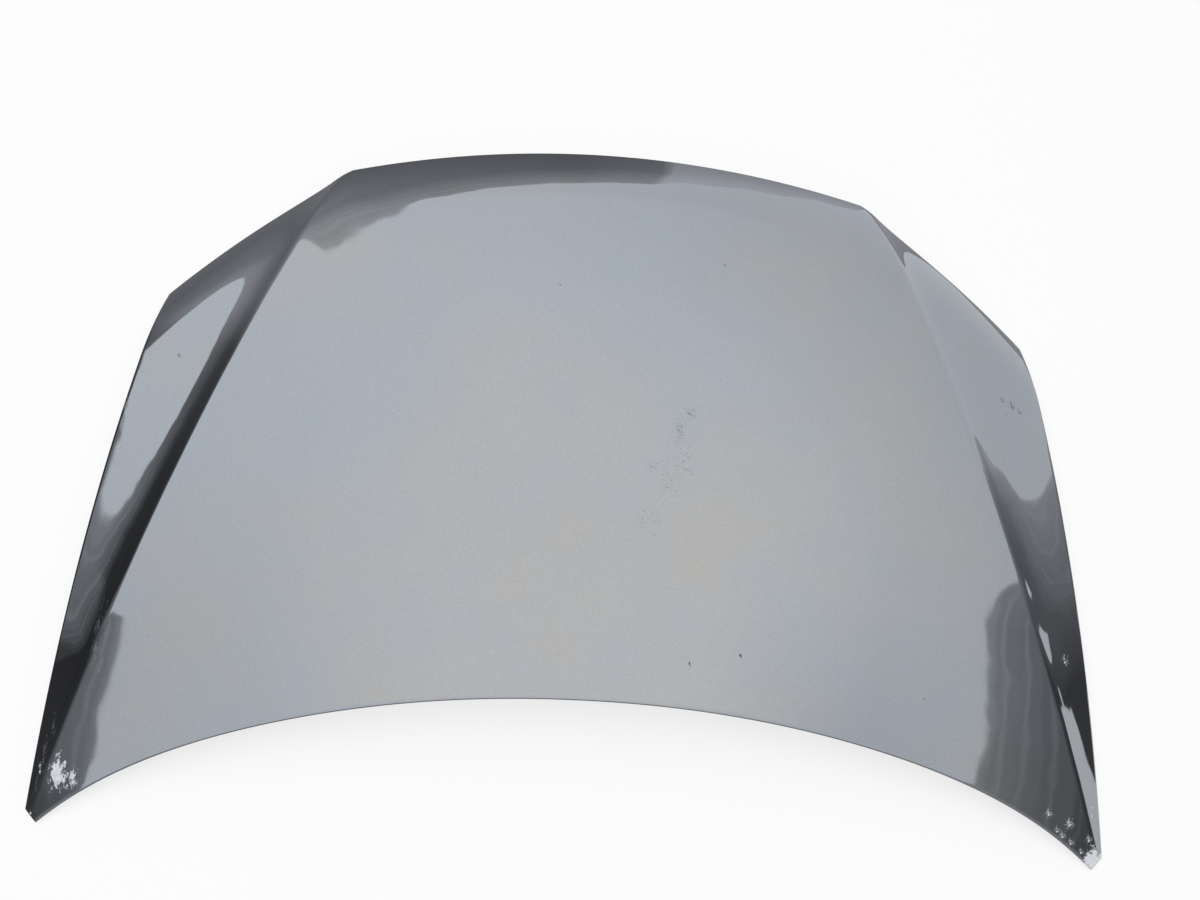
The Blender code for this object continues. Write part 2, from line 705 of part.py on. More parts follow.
def make_frame(path):
    border = without_tip(path)
    outline = [point - FRAME_EDGE_INSET * step for point, step in zip(border, outward_steps(border))]
    corners = window_corners()
    windows = [rounded_loop(window, 0, WINDOW_RADIUS) for window in corners]
    holes = [circle(Vector(spot), radius) for spot, radius in frame_holes()]
    pads = frame_pads()
    points = []
    edges = []
    add_loop(points, edges, list(outline))
    for inset in (FRAME_FLANGE, FRAME_FLANGE + FRAME_WALL):
        line = [point - inset * step for point, step in zip(outline, outward_steps(outline))]
        kept = [point for point in line if distance_to(outline, point) > LINE_SPACE * inset and point.x >= 0]
        add_loop(points, edges, kept, closed=False)
    for window, rim in zip(corners, windows):
        add_loop(points, edges, rim)
        for grow in (WINDOW_FLANGE, WINDOW_FLANGE + WINDOW_WALL):
            loop = rounded_loop(window, grow, WINDOW_RADIUS + grow)
            add_loop(points, edges, [point for point in loop if point.x >= 0])
    for loop in holes + [pad[1] for pad in pads]:
        kept = [Vector((max(point.x, 0), point.y)) for point in loop]
        add_loop(points, edges, kept)
    for i in range(round(HALF_WIDTH / FLOOR_STEP) + 1):
        for j in range(round(-REAR_SWEEP / FLOOR_STEP), round(LENGTH / FLOOR_STEP) + 1):
            spot = Vector((i * FLOOR_STEP, j * FLOOR_STEP))
            clear = inside(outline, spot) and min((spot - point).length for point in points) > FLOOR_SPACE
            if clear and not any(inside(window, spot) for window in windows):
                points.append(spot)
    flat, _, triangles, _, _, _ = delaunay_2d_cdt(points, edges, [], 0, 1e-6)
    bm = bmesh.new()
    verts = []
    for spot in flat:
        for place, loop in pads:
            if inside(loop, spot) or distance_to(loop, spot, True) < 1e-5:
                verts.append(bm.verts.new(on_plane(place, spot)))
                break
        else:
            verts.append(bm.verts.new(lifted(spot, frame_depth(spot, outline, windows))))
    gaps = windows + holes
    for triangle in triangles:
        a, b, c = (flat[k] for k in triangle)
        middle = (a + b + c) / 3
        if abs((b - a).cross(c - a)) / 2 < SLIVER_AREA or not inside(outline, middle):
            continue
        if not any(inside(gap, middle) for gap in gaps):
            bm.faces.new([verts[k] for k in triangle])
    loose = [vert for vert in bm.verts if not vert.link_faces]
    bmesh.ops.delete(bm, geom=loose, context="VERTS")
    bmesh.ops.recalc_face_normals(bm, faces=bm.faces)
    if sum(face.normal.z for face in bm.faces) < 0:
        bmesh.ops.reverse_faces(bm, faces=bm.faces)
    for vert in bm.verts:
        if abs(vert.co.x) < 1e-6:
            vert.co.x = 0
    frame = new_object("inner_frame", bm, FRAME_PAINT)
    mirror(frame)
    solidify(frame, FRAME_SHEET)
    smooth_round(frame)
    return frame, corners


def hinge_spots():
    half = HINGE_BOLT_SPACING / 2
    return {"front": (HINGE_X, HINGE_U + half), "rear": (HINGE_X, HINGE_U - half)}


def frame_pads():
    """Each flat pad of the frame's left half, as (its frame, its outline in plan)."""
    hinge = pad_place(HINGE_X, HINGE_U, CHANNEL_DEPTH)
    latch = pad_place(0, LENGTH - LATCH_INSET, CHANNEL_DEPTH, level=True)
    pads = [
        (hinge, rectangle(Vector((HINGE_X, HINGE_U)), HINGE_PAD_WIDTH, HINGE_PAD_LENGTH)),
        (latch, rectangle(Vector((0, LENGTH - LATCH_INSET)), LATCH_PAD_WIDTH, LATCH_PAD_LENGTH)),
    ]
    for x in (STOP_X, BUSH_X):
        u = nose_u(x) - STOP_INSET
        pads.append((pad_place(x, u, CHANNEL_DEPTH), rectangle(Vector((x, u)), STOP_PAD, STOP_PAD)))
    return pads


def frame_holes():
    """Each round hole of the frame's left half, as (spot, radius)."""
    holes = [(spot, BOLT_HOLE_RADIUS) for spot in hinge_spots().values()]
    holes.append(((LATCH_BOLT_SPACING / 2, LENGTH - LATCH_INSET), BOLT_HOLE_RADIUS))
    holes.append(((STOP_X, nose_u(STOP_X) - STOP_INSET), STOP_NECK_RADIUS + CLEARANCE))
    holes.append(((BUSH_X, nose_u(BUSH_X) - STOP_INSET), BUSH_NECK_RADIUS + CLEARANCE))
    holes.append(((DRAIN_RAIL_X, rear_u(DRAIN_RAIL_X) + DRAIN_RAIL_INSET), DRAIN_RADIUS))
    return holes


# Reinforcements, nuts, striker and bolts


def mirrored(place):
    """The pad's frame on the car's right side, still right-handed."""
    flip = Matrix.Scale(-1, 4, Vector((1, 0, 0)))
    return flip @ place @ flip


def plate_with_turned_edges(name, width, length, turned_along, place, spots):
    """A flat plate on the pad, with two opposite edges turned up and a hole over each bolt."""
    bm = bmesh.new()
    bmesh.ops.create_grid(bm, x_segments=3, y_segments=1, size=1)
    bm.verts.ensure_lookup_table()
    middle = PLATE_SHEET + CLEARANCE
    for index, vert in enumerate(bm.verts):
        column = index % 4
        side = -1 if column < 2 else 1
        height = middle + (PLATE_TURN_UP if column in (0, 3) else 0)
        if turned_along:
            vert.co = (side * width / 2, vert.co.y * length / 2, height)
        else:
            vert.co = (vert.co.y * -width / 2, side * length / 2, height)
    bmesh.ops.recalc_face_normals(bm, faces=bm.faces)
    floor = min(bm.faces, key=lambda face: face.calc_center_median().z)
    if floor.normal.z < 0:
        bmesh.ops.reverse_faces(bm, faces=bm.faces)
    plate = new_object(name, bm, STEEL, place)
    solidify(plate, PLATE_SHEET)
    for k, spot in enumerate(spots):
        hole = prism(BORE_SIDES, BOLT_HOLE_RADIUS, -CUTTER_SPARE, CUTTER_SPARE)
        cutter = new_cutter(f"{name}_hole_{k}", hole, place @ Matrix.Translation((*spot, 0)))
        boolean(plate, cutter, "DIFFERENCE")
    return plate


def make_nut(name, place):
    """A hexagonal weld nut that stands on its reinforcement."""
    low = 2 * CLEARANCE + PLATE_SHEET
    nut = new_object(name, prism(6, NUT_FLATS / math.sqrt(3), low, low + NUT_HEIGHT), ZINC, place)
    bore = prism(BORE_SIDES, NUT_BORE_RADIUS, low - CUTTER_SPARE, low + NUT_HEIGHT + CUTTER_SPARE)
    boolean(nut, new_cutter(name + "_bore", bore, place), "DIFFERENCE")
    return nut


def make_hinge_side(side, place):
    spots = {"front": (0, -HINGE_BOLT_SPACING / 2), "rear": (0, HINGE_BOLT_SPACING / 2)}
    name = f"hinge_reinforcement_{side}"
    plate_with_turned_edges(name, HINGE_PLATE_WIDTH, HINGE_PLATE_LENGTH, True, place, spots.values())
    for end, spot in spots.items():
        make_nut(f"hinge_nut_{side}_{end}", place @ Matrix.Translation((*spot, 0)))


def make_striker_bolt(name, place, base_top):
    """A flanged hexagon bolt, from below the striker base up through its nut."""
    seat = base_top - STRIKER_BASE_SHEET - CLEARANCE
    tip = 2 * CLEARANCE + PLATE_SHEET + NUT_HEIGHT + BOLT_TIP
    flange_low = seat - BOLT_FLANGE
    profile = [
        (0, tip),
        (BOLT_RADIUS - BOLT_CHAMFER, tip),
        (BOLT_RADIUS, tip - BOLT_CHAMFER),
        (BOLT_RADIUS, seat),
        (BOLT_FLANGE_TOP_RADIUS, seat),
        (BOLT_FLANGE_RADIUS, seat - BOLT_FLANGE / 2),
        (BOLT_FLANGE_RADIUS, flange_low),
        (0, flange_low),
    ]
    bolt = turned(name, profile, ZINC, place)
    bolt.modifiers["turn"].steps = bolt.modifiers["turn"].render_steps = BORE_SIDES
    head = prism(6, BOLT_HEAD_FLATS / math.sqrt(3), flange_low - BOLT_HEAD, flange_low + BOLT_FLANGE / 2)
    boolean(bolt, new_cutter(name + "_head", head, place), "UNION")
    return bolt


def make_striker(place):
    base_top = -FRAME_SHEET - CLEARANCE
    middle = Matrix.Translation((0, 0, base_top - STRIKER_BASE_SHEET / 2))
    bm = bmesh.new()
    size = Matrix.Diagonal((STRIKER_BASE_WIDTH, STRIKER_BASE_LENGTH, STRIKER_BASE_SHEET, 1))
    bmesh.ops.create_cube(bm, size=1, matrix=middle @ size)
    upright = []
    for edge in bm.edges:
        if abs(edge.verts[0].co.z - edge.verts[1].co.z) > STRIKER_BASE_SHEET / 2:
            upright.append(edge)
    bmesh.ops.bevel(
        bm,
        geom=upright,
        offset=STRIKER_BASE_CORNER,
        segments=STRIKER_CORNER_STEPS,
        profile=0.5,
        affect="EDGES",
    )
    base = new_object("striker_base", bm, ZINC, place)
    for side, sign in (("left", 1), ("right", -1)):
        spot = place @ Matrix.Translation((sign * LATCH_BOLT_SPACING / 2, 0, 0))
        hole = prism(BORE_SIDES, BOLT_HOLE_RADIUS, -CUTTER_SPARE, CUTTER_SPARE)
        boolean(base, new_cutter(f"striker_base_hole_{side}", hole, spot), "DIFFERENCE")
        make_striker_bolt(f"striker_bolt_{side}", spot, base_top)
        make_nut(f"latch_nut_{side}", spot)
    make_striker_loop(place, base_top - STRIKER_BASE_SHEET - CLEARANCE)


def make_striker_loop(place, leg_top):
    """The round bar that the latch grips: two legs and a rounded bottom, in the car's middle plane."""
    bottom = leg_top - STRIKER_DROP + STRIKER_WIRE_RADIUS
    half = STRIKER_SPAN / 2
    points = [(-half, leg_top)]
    for sign, start in ((-1, math.pi), (1, 1.5 * math.pi)):
        centre = sign * (half - STRIKER_BEND)
        for k in range(STRIKER_BEND_STEPS + 1):
            turn = start + math.pi / 2 * k / STRIKER_BEND_STEPS
            height = bottom + STRIKER_BEND * (1 + math.sin(turn))
            points.append((centre + STRIKER_BEND * math.cos(turn), height))
    points.append((half, leg_top))
    curve = bpy.data.curves.new("striker_loop", "CURVE")
    curve.dimensions = "3D"
    curve.bevel_depth = STRIKER_WIRE_RADIUS
    curve.bevel_resolution = 3
    curve.use_fill_caps = True
    spline = curve.splines.new("POLY")
    spline.points.add(len(points) - 1)
    for spot, (y, z) in zip(spline.points, points):
        spot.co = (0, y, z, 1)
    spline.use_smooth = True
    curve.materials.append(ZINC)
    loop = bpy.data.objects.new("striker_loop", curve)
    PARTS.objects.link(loop)
    loop.parent = ROOT
    loop.matrix_local = place


# Rubber stops, bush and mastic beads


def make_stop(name, place):
    """A rubber stop pushed into the frame from below."""
    under = -FRAME_SHEET - CLEARANCE
    profile = [
        (0, CLEARANCE + STOP_HEAD_HEIGHT),
        (STOP_TOP_RADIUS, CLEARANCE + STOP_HEAD_HEIGHT),
        (STOP_HEAD_RADIUS, CLEARANCE + STOP_HEAD_EDGE),
        (STOP_HEAD_RADIUS, CLEARANCE),
        (STOP_NECK_RADIUS, CLEARANCE),
        (STOP_NECK_RADIUS, under),
        (STOP_RADIUS, under),
        (STOP_RADIUS, under - STOP_RIM),
        (STOP_WAIST_RADIUS, under - STOP_HEIGHT / 2),
        (STOP_FOOT_RADIUS, under - STOP_HEIGHT + STOP_EDGE),
        (STOP_END_RADIUS, under - STOP_HEIGHT),
        (0, under - STOP_HEIGHT),
    ]
    return turned(name, profile, RUBBER, place)


def make_bush(place):
    """The flanged bush that takes the end of the prop rod."""
    under = -FRAME_SHEET - CLEARANCE
    profile = [
        (BUSH_BORE_RADIUS, CLEARANCE + BUSH_LIP_HEIGHT),
        (BUSH_TOP_RADIUS, CLEARANCE + BUSH_LIP_HEIGHT),
        (BUSH_LIP_RADIUS, CLEARANCE + BUSH_CHAMFER),
        (BUSH_LIP_RADIUS, CLEARANCE),
        (BUSH_NECK_RADIUS, CLEARANCE),
        (BUSH_NECK_RADIUS, under),
        (BUSH_FLANGE_RADIUS, under),
        (BUSH_FLANGE_END_RADIUS, under - BUSH_FLANGE),
        (BUSH_BORE_RADIUS + BUSH_CHAMFER, under - BUSH_FLANGE),
        (BUSH_BORE_RADIUS, under - BUSH_FLANGE + BUSH_CHAMFER),
        (BUSH_BORE_RADIUS, CLEARANCE + BUSH_LIP_HEIGHT),
    ]
    return turned("prop_rod_bush", profile, PLASTIC, place)


def make_beads(corners):
    """Mastic beads on the window rims, which carry the middle of the skin."""
    chosen = ((0, 4), (1, 0), (3, 0), (4, 0))
    number = 1
    for window, side in chosen:
        start = corners[window][side]
        end = corners[window][(side + 1) % len(corners[window])]
        line = offset_line(start, end, WINDOW_FLANGE / 2)
        middle = line[0].lerp(line[1], 0.5)
        run = (line[1] - line[0]).normalized()
        for sign in (1, -1):
            top = lifted(middle, SKIN_SHEET + CLEARANCE)
            up = up_normal(*middle)
            along = Vector((run.x, -run.y, 0))
            across = up.cross(along).normalized()
            place = Matrix((across.cross(up), across, up)).transposed().to_4x4()
            place.translation = top
            if sign < 0:
                place = mirrored(place)
            height = WINDOW_SEAT - SKIN_SHEET - 2 * CLEARANCE
            bm = prism(BORE_SIDES, BEAD_WIDTH / 2, -height, 0, BEAD_TAPER * BEAD_WIDTH / 2)
            bmesh.ops.scale(bm, vec=(BEAD_LENGTH / BEAD_WIDTH, 1, 1), verts=bm.verts)
            smooth_round(new_object(f"mastic_bead_{number}", bm, MASTIC, place))
            number += 1


def set_down():
    """Moves the whole bonnet so that its box stands on the floor, centred over the origin."""
    bpy.context.view_layer.update()
    graph = bpy.context.evaluated_depsgraph_get()
    corners = []
    for item in PARTS.objects:
        evaluated = item.evaluated_get(graph)
        mesh = evaluated.to_mesh()
        corners += [evaluated.matrix_world @ vert.co for vert in mesh.vertices]
        evaluated.to_mesh_clear()
    low = Vector(min(corner[k] for corner in corners) for k in range(3))
    high = Vector(max(corner[k] for corner in corners) for k in range(3))
    ROOT.location -= Vector(((low.x + high.x) / 2, (low.y + high.y) / 2, low.z))
    bpy.context.view_layer.update()


clear_scene()
PARTS = bpy.data.collections.new("car_bonnet")
CUTTERS = bpy.data.collections.new("cutters")
bpy.context.scene.collection.children.link(PARTS)
bpy.context.scene.collection.children.link(CUTTERS)
ROOT = bpy.data.objects.new("bonnet_root", None)
bpy.context.scene.collection.objects.link(ROOT)

PAINT = material("metallic_grey_paint", (0.33, 0.35, 0.38), 0.18, 0.8)
FRAME_PAINT = material("frame_paint", (0.17, 0.18, 0.19), 0.45, 0.5)
STEEL = material("coated_steel", (0.20, 0.21, 0.21), 0.5, 0.6)
ZINC = material("zinc_plated_steel", (0.62, 0.60, 0.55), 0.35, 0.95)
RUBBER = material("black_rubber", (0.02, 0.02, 0.02), 0.8, 0.0)
PLASTIC = material("black_plastic", (0.03, 0.03, 0.03), 0.45, 0.0)
MASTIC = material("grey_mastic", (0.09, 0.09, 0.09), 0.85, 0.0)


def build():
    columns, rows = skin_shares()
    path = half_outline(columns, rows)
    make_skin(columns, rows, path)
    _, corners = make_frame(path)
    pads = frame_pads()
    hinge, latch, stop, bush = (place for place, _ in pads)
    make_hinge_side("left", hinge)
    make_hinge_side("right", mirrored(hinge))
    bolts = [(LATCH_BOLT_SPACING / 2, 0), (-LATCH_BOLT_SPACING / 2, 0)]
    latch_size = LATCH_PLATE_WIDTH, LATCH_PLATE_LENGTH
    plate_with_turned_edges("latch_reinforcement", *latch_size, False, latch, bolts)
    make_striker(latch)
    make_stop("rubber_stop_left", stop)
    make_stop("rubber_stop_right", mirrored(stop))
    make_bush(bush)
    make_beads(corners)
    set_down()


build()
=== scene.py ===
import math
import bpy
from mathutils import Matrix, Vector


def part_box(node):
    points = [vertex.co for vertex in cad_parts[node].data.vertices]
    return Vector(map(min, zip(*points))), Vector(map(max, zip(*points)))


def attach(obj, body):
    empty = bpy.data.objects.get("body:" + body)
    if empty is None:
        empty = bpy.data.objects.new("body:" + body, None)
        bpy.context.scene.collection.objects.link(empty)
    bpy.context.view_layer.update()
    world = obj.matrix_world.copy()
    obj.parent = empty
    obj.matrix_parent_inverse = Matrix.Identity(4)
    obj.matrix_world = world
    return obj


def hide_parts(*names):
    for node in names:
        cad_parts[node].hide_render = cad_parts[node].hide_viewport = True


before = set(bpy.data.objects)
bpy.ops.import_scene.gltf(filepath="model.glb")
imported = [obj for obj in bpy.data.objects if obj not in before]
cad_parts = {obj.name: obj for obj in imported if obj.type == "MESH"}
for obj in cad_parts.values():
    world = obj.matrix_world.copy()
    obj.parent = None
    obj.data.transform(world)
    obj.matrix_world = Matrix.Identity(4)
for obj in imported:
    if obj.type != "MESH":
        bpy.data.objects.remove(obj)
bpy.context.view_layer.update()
print("car bonnet: packed frame loaded")


# outline and crown of the outer skin, in metres; x across from the middle, u forward from the rear edge
skinShape = {
    "place": (0.0, 0.3132, 0.12169),   # middle of the rear edge on the flat the crown falls from
    "halfWidth": 0.735,
    "length": 0.820,
    "rearSweep": 0.193,                # rear tips behind the middle of the rear edge
    "rearPower": 2.09,
    "rearHook": 0.18,
    "rearHookPower": 8,
    "tipCut": (0.016, 0.014),          # blunt end of a rear tip
    "grilleX": 0.399,
    "noseSweep": 0.044,
    "lampCorner": (0.666, 0.571),
    "lampBow": 0.011,
    "sideBow": 0.011,
    "creaseFrontX": 0.413,
    "creaseTipInset": 0.004,
    "creaseBow": 0.014,
    "creaseBlend": 0.007,              # half the width of the rounded fold
    "meetingRounds": 12,               # rounds that bring the crease's end onto the front line
    "slopeReach": 0.0008,              # how far to each side the slope is taken
    "crownAlong": 0.12998,
    "crownPeak": 0.35,
    "crownRear": 0.14494,
    "crownNose": 0.16493,
    "cornerDrop": 0.003,
    "cornerDropPower": 6,
    "lipWidth": 0.090,
    "lipDrop": 0.016,
    "stepRear": 0.005,
    "stepNose": 0.018,
    "stepWidth": 0.028,
    "shoulderCurve": 0.25,
}
tipU = skinShape["tipCut"][1] - skinShape["rearSweep"]
creaseTipX = skinShape["halfWidth"] - skinShape["creaseTipInset"]
creaseTipU = tipU - skinShape["tipCut"][1] * skinShape["creaseTipInset"] / skinShape["tipCut"][0]
grilleU = skinShape["length"] - skinShape["noseSweep"]
cornerX = skinShape["halfWidth"] - skinShape["tipCut"][0]


def rearLine(x):
    share = abs(x) / cornerX
    hook = skinShape["rearHook"]
    bend = (1 - hook) * share ** skinShape["rearPower"] + hook * share ** skinShape["rearHookPower"]
    return -skinShape["rearSweep"] * bend


def bowed(start, end, bow, share):
    return start.lerp(end, share) + 4 * share * (1 - share) * bow


def lampLine(share):
    start, end = Vector((skinShape["grilleX"], grilleU)), Vector(skinShape["lampCorner"])
    return bowed(start, end, Vector((0, skinShape["lampBow"])), share)


def sideLine(share):
    start, end = Vector((skinShape["halfWidth"], tipU)), Vector(skinShape["lampCorner"])
    return bowed(start, end, Vector((skinShape["sideBow"], 0)), share)


def frontLine(x):
    x, grille = abs(x), skinShape["grilleX"]
    if x <= grille:
        return skinShape["length"] - skinShape["noseSweep"] * (x / grille) ** 2
    return lampLine((x - grille) / (skinShape["lampCorner"][0] - grille)).y


def creaseAt(u):
    share = (u - creaseTipU) / (grilleU - creaseTipU)
    straight = creaseTipX + (skinShape["creaseFrontX"] - creaseTipX) * share
    return straight + 4 * skinShape["creaseBow"] * share * (1 - share)


def creaseEnd():
    x = skinShape["creaseFrontX"]
    for _ in range(skinShape["meetingRounds"]):
        x = creaseAt(frontLine(x))
    return Vector((x, frontLine(x)))


def creaseLine(share):
    u = creaseTipU + (creaseEnd().y - creaseTipU) * share
    return Vector((creaseAt(u), u))


def crownHeight(x, u):
    s = skinShape
    share = max(0.0, min(1.0, (u + s["rearSweep"]) / (s["length"] + s["rearSweep"])))
    across = s["crownRear"] + (s["crownNose"] - s["crownRear"]) * share
    height = -s["crownAlong"] * (u - s["crownPeak"]) ** 2 - across * x * x
    height -= s["cornerDrop"] * (1 - share) * (abs(x) / s["halfWidth"]) ** s["cornerDropPower"]
    lip = max(0.0, 1 - (frontLine(x) - u) / s["lipWidth"])
    height -= s["lipDrop"] * lip * lip
    past, blend = abs(x) - creaseAt(u), s["creaseBlend"]
    if past < blend:
        past = max(0.0, past + blend) ** 2 / (4 * blend)
    step = s["stepRear"] + (s["stepNose"] - s["stepRear"]) * share
    return height - step * (1 - math.exp(-past / s["stepWidth"])) - s["shoulderCurve"] * past * past


pitch = crownHeight(skinShape["halfWidth"], tipU) - crownHeight(*skinShape["lampCorner"])
pitch /= skinShape["lampCorner"][1] - tipU


def skinHeight(x, u):
    return crownHeight(x, u) + pitch * (u - tipU)


def skinNormal(x, u):
    reach, onMiddle = skinShape["slopeReach"], abs(x) < 1e-9
    slopeX = (skinHeight(x + reach, u) - skinHeight(x - reach, u)) / (2 * reach)
    slopeU = (skinHeight(x, u + reach) - skinHeight(x, u - reach)) / (2 * reach)
    return Vector((0.0 if onMiddle else -slopeX, slopeU, 1)).normalized()


def skinPlace(point, depth):  # a point that far under the skin's face, square to it
    x, u = point
    middle = Vector(skinShape["place"])
    return middle + Vector((x, -u, skinHeight(x, u))) - depth * skinNormal(x, u)


# objects and edit mode

def deselectAll():
    if bpy.context.mode != "OBJECT":
        bpy.ops.object.mode_set(mode="OBJECT")
    bpy.ops.object.select_all(action="DESELECT")


def makeActive(piece):
    deselectAll()
    piece.select_set(True)
    bpy.context.view_layer.objects.active = piece


def startEditing(piece, mode="VERT"):
    makeActive(piece)
    bpy.ops.object.mode_set(mode="EDIT")
    bpy.ops.mesh.select_mode(type=mode)
    bpy.ops.mesh.select_all(action="DESELECT")
    bpy.ops.object.mode_set(mode="OBJECT")


def applyModifier(piece, kind, **values):
    makeActive(piece)
    modifier = piece.modifiers.new(kind.lower(), kind)
    for name, value in values.items():
        setattr(modifier, name, value)
    bpy.ops.object.modifier_apply(modifier=modifier.name)


def roundShading(piece, angle):
    makeActive(piece)
    bpy.ops.object.shade_smooth_by_angle(angle=math.radians(angle))


def finishPiece(piece, material, slot, *nodes):
    piece.data.materials.clear()
    piece.data.materials.append(material)
    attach(piece, "root")
    if nodes:
        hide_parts(*nodes)


# shader nodes

def addNode(tree, kind, inputs=None, **values):
    node = tree.nodes.new(kind)
    for name, value in values.items():
        setattr(node, name, value)
    for name, value in (inputs or {}).items():
        if isinstance(value, bpy.types.NodeSocket):
            tree.links.new(value, node.inputs[name])
        else:
            node.inputs[name].default_value = value
    return node


def mathNode(tree, operation, a, b=0.0, c=0.0, clamp=False):
    node = addNode(tree, "ShaderNodeMath", {0: a, 1: b, 2: c}, operation=operation, use_clamp=clamp)
    return node.outputs[0]


def vectorNode(tree, operation, a, b=(0, 0, 0)):
    return addNode(tree, "ShaderNodeVectorMath", {0: a, 1: b}, operation=operation).outputs


def noiseNode(tree, coords, scale, detail, roughness):
    inputs = {"Vector": coords, "Scale": scale, "Detail": detail, "Roughness": roughness}
    return addNode(tree, "ShaderNodeTexNoise", inputs).outputs


def spanNode(tree, value, span, result=(0.0, 1.0)):  # maps the span onto the result, and holds its ends
    inputs = {"Value": value, "From Min": span[0], "From Max": span[1]}
    inputs.update({"To Min": result[0], "To Max": result[1]})
    return addNode(tree, "ShaderNodeMapRange", inputs).outputs[0]


def bumpNode(tree, height, distance):
    inputs = {"Height": height, "Strength": 1.0, "Distance": distance}
    return addNode(tree, "ShaderNodeBump", inputs).outputs["Normal"]


def objectCoords(tree):
    return addNode(tree, "ShaderNodeTexCoord").outputs["Object"]


def mixColour(tree, mask, a, b, blend="MIX"):
    node = addNode(tree, "ShaderNodeMix", {0: mask, 6: a, 7: b}, data_type="RGBA", blend_type=blend)
    return node.outputs[2]


def mixValue(tree, mask, a, b):
    return addNode(tree, "ShaderNodeMix", {0: mask, 2: a, 3: b}, data_type="FLOAT").outputs[0]


def rampNode(tree, value, stops, interpolation="LINEAR"):
    node = addNode(tree, "ShaderNodeValToRGB", {"Fac": value})
    ramp = node.color_ramp
    ramp.interpolation = interpolation
    while len(ramp.elements) < len(stops):
        ramp.elements.new(0.5)
    for element, (position, colour) in zip(ramp.elements, stops):
        element.position = position
        shade = colour if isinstance(colour, tuple) else (colour,) * 3
        element.color = (*shade, 1)
    return node.outputs["Color"]


def newGroup(name, inputs, outputs):
    tree = bpy.data.node_groups.new(name, "ShaderNodeTree")
    for socket, (kind, value) in inputs.items():
        made = tree.interface.new_socket(name=socket, in_out="INPUT", socket_type=kind)
        made.default_value = value
    for socket, kind in outputs.items():
        tree.interface.new_socket(name=socket, in_out="OUTPUT", socket_type=kind)
    return tree, tree.nodes.new("NodeGroupInput").outputs, tree.nodes.new("NodeGroupOutput").inputs


wornSpotShape = {"detail": 8, "raggedness": 0.68, "fade": 0.42, "edge": (0.53, 0.60)}


def buildWornSpot():  # ragged patch or specks round a point; Cover above 0.2 fills its middle
    s = wornSpotShape
    tree, given, result = newGroup(
        "wornSpot",
        {
            "Centre": ("NodeSocketVector", (0, 0, 0)),
            "Squeeze": ("NodeSocketVector", (1, 1, 1)),
            "Reach": ("NodeSocketFloat", 0.03),
            "Grain": ("NodeSocketFloat", 200.0),
            "Cover": ("NodeSocketFloat", 0.0),
        },
        {"Mask": "NodeSocketFloat"},
    )
    offset = vectorNode(tree, "SUBTRACT", objectCoords(tree), given["Centre"])[0]
    offset = vectorNode(tree, "MULTIPLY", offset, given["Squeeze"])[0]
    away = mathNode(tree, "DIVIDE", vectorNode(tree, "LENGTH", offset)["Value"], given["Reach"])
    noise = noiseNode(tree, offset, given["Grain"], s["detail"], s["raggedness"])["Fac"]
    level = mathNode(tree, "MULTIPLY_ADD", away, -s["fade"], mathNode(tree, "ADD", noise, given["Cover"]))
    tree.links.new(spanNode(tree, level, s["edge"]), result["Mask"])
    return tree


fineGrainShape = {"detail": 3, "raggedness": 0.6}


def buildFineGrain():  # even grain as a height and a matching mask
    s = fineGrainShape
    tree, given, result = newGroup(
        "fineGrain",
        {"Scale": ("NodeSocketFloat", 400.0), "Contrast": ("NodeSocketFloat", 1.0)},
        {"Height": "NodeSocketFloat", "Mask": "NodeSocketFloat"},
    )
    noise = noiseNode(tree, objectCoords(tree), given["Scale"], s["detail"], s["raggedness"])["Fac"]
    tree.links.new(noise, result["Height"])
    spread = mathNode(tree, "MULTIPLY", mathNode(tree, "SUBTRACT", noise, 0.5), given["Contrast"])
    tree.links.new(mathNode(tree, "ADD", spread, 0.5, clamp=True), result["Mask"])
    return tree


settledDustShape = {
    "cloudDetail": 7,
    "cloudRaggedness": 0.6,
    "cloudEdge": (0.38, 0.72),
    "speckleScale": 420.0,
    "speckleDetail": 2,
    "speckleRaggedness": 0.7,
    "speckleEdge": (0.45, 0.7),
    "evenShare": 0.6,                  # dust that lies between the speckles
}


def buildSettledDust():  # soft cloudy patches with speckles in them
    s = settledDustShape
    tree, given, result = newGroup(
        "settledDust",
        {"Scale": ("NodeSocketFloat", 6.0), "Amount": ("NodeSocketFloat", 0.3)},
        {"Mask": "NodeSocketFloat"},
    )
    coords = objectCoords(tree)
    cloud = noiseNode(tree, coords, given["Scale"], s["cloudDetail"], s["cloudRaggedness"])["Fac"]
    speckle = noiseNode(tree, coords, s["speckleScale"], s["speckleDetail"], s["speckleRaggedness"])
    speckle = mathNode(tree, "ADD", spanNode(tree, speckle["Fac"], s["speckleEdge"]), s["evenShare"])
    both = mathNode(tree, "MULTIPLY", spanNode(tree, cloud, s["cloudEdge"]), speckle)
    tree.links.new(mathNode(tree, "MULTIPLY", both, given["Amount"], clamp=True), result["Mask"])
    return tree


wornSpot = buildWornSpot()
fineGrain = buildFineGrain()
settledDust = buildSettledDust()


def placeGroup(tree, group, values):
    node = tree.nodes.new("ShaderNodeGroup")
    node.node_tree = group
    for name, value in values.items():
        node.inputs[name].default_value = value
    return node


def newMaterial(name, **settings):
    material = bpy.data.materials.new(name)
    material.use_nodes = True
    tree = material.node_tree
    shader = tree.nodes["Principled BSDF"]
    for socket, value in settings.items():
        shader.inputs[socket.replace("_", " ")].default_value = value
    return material, tree, shader


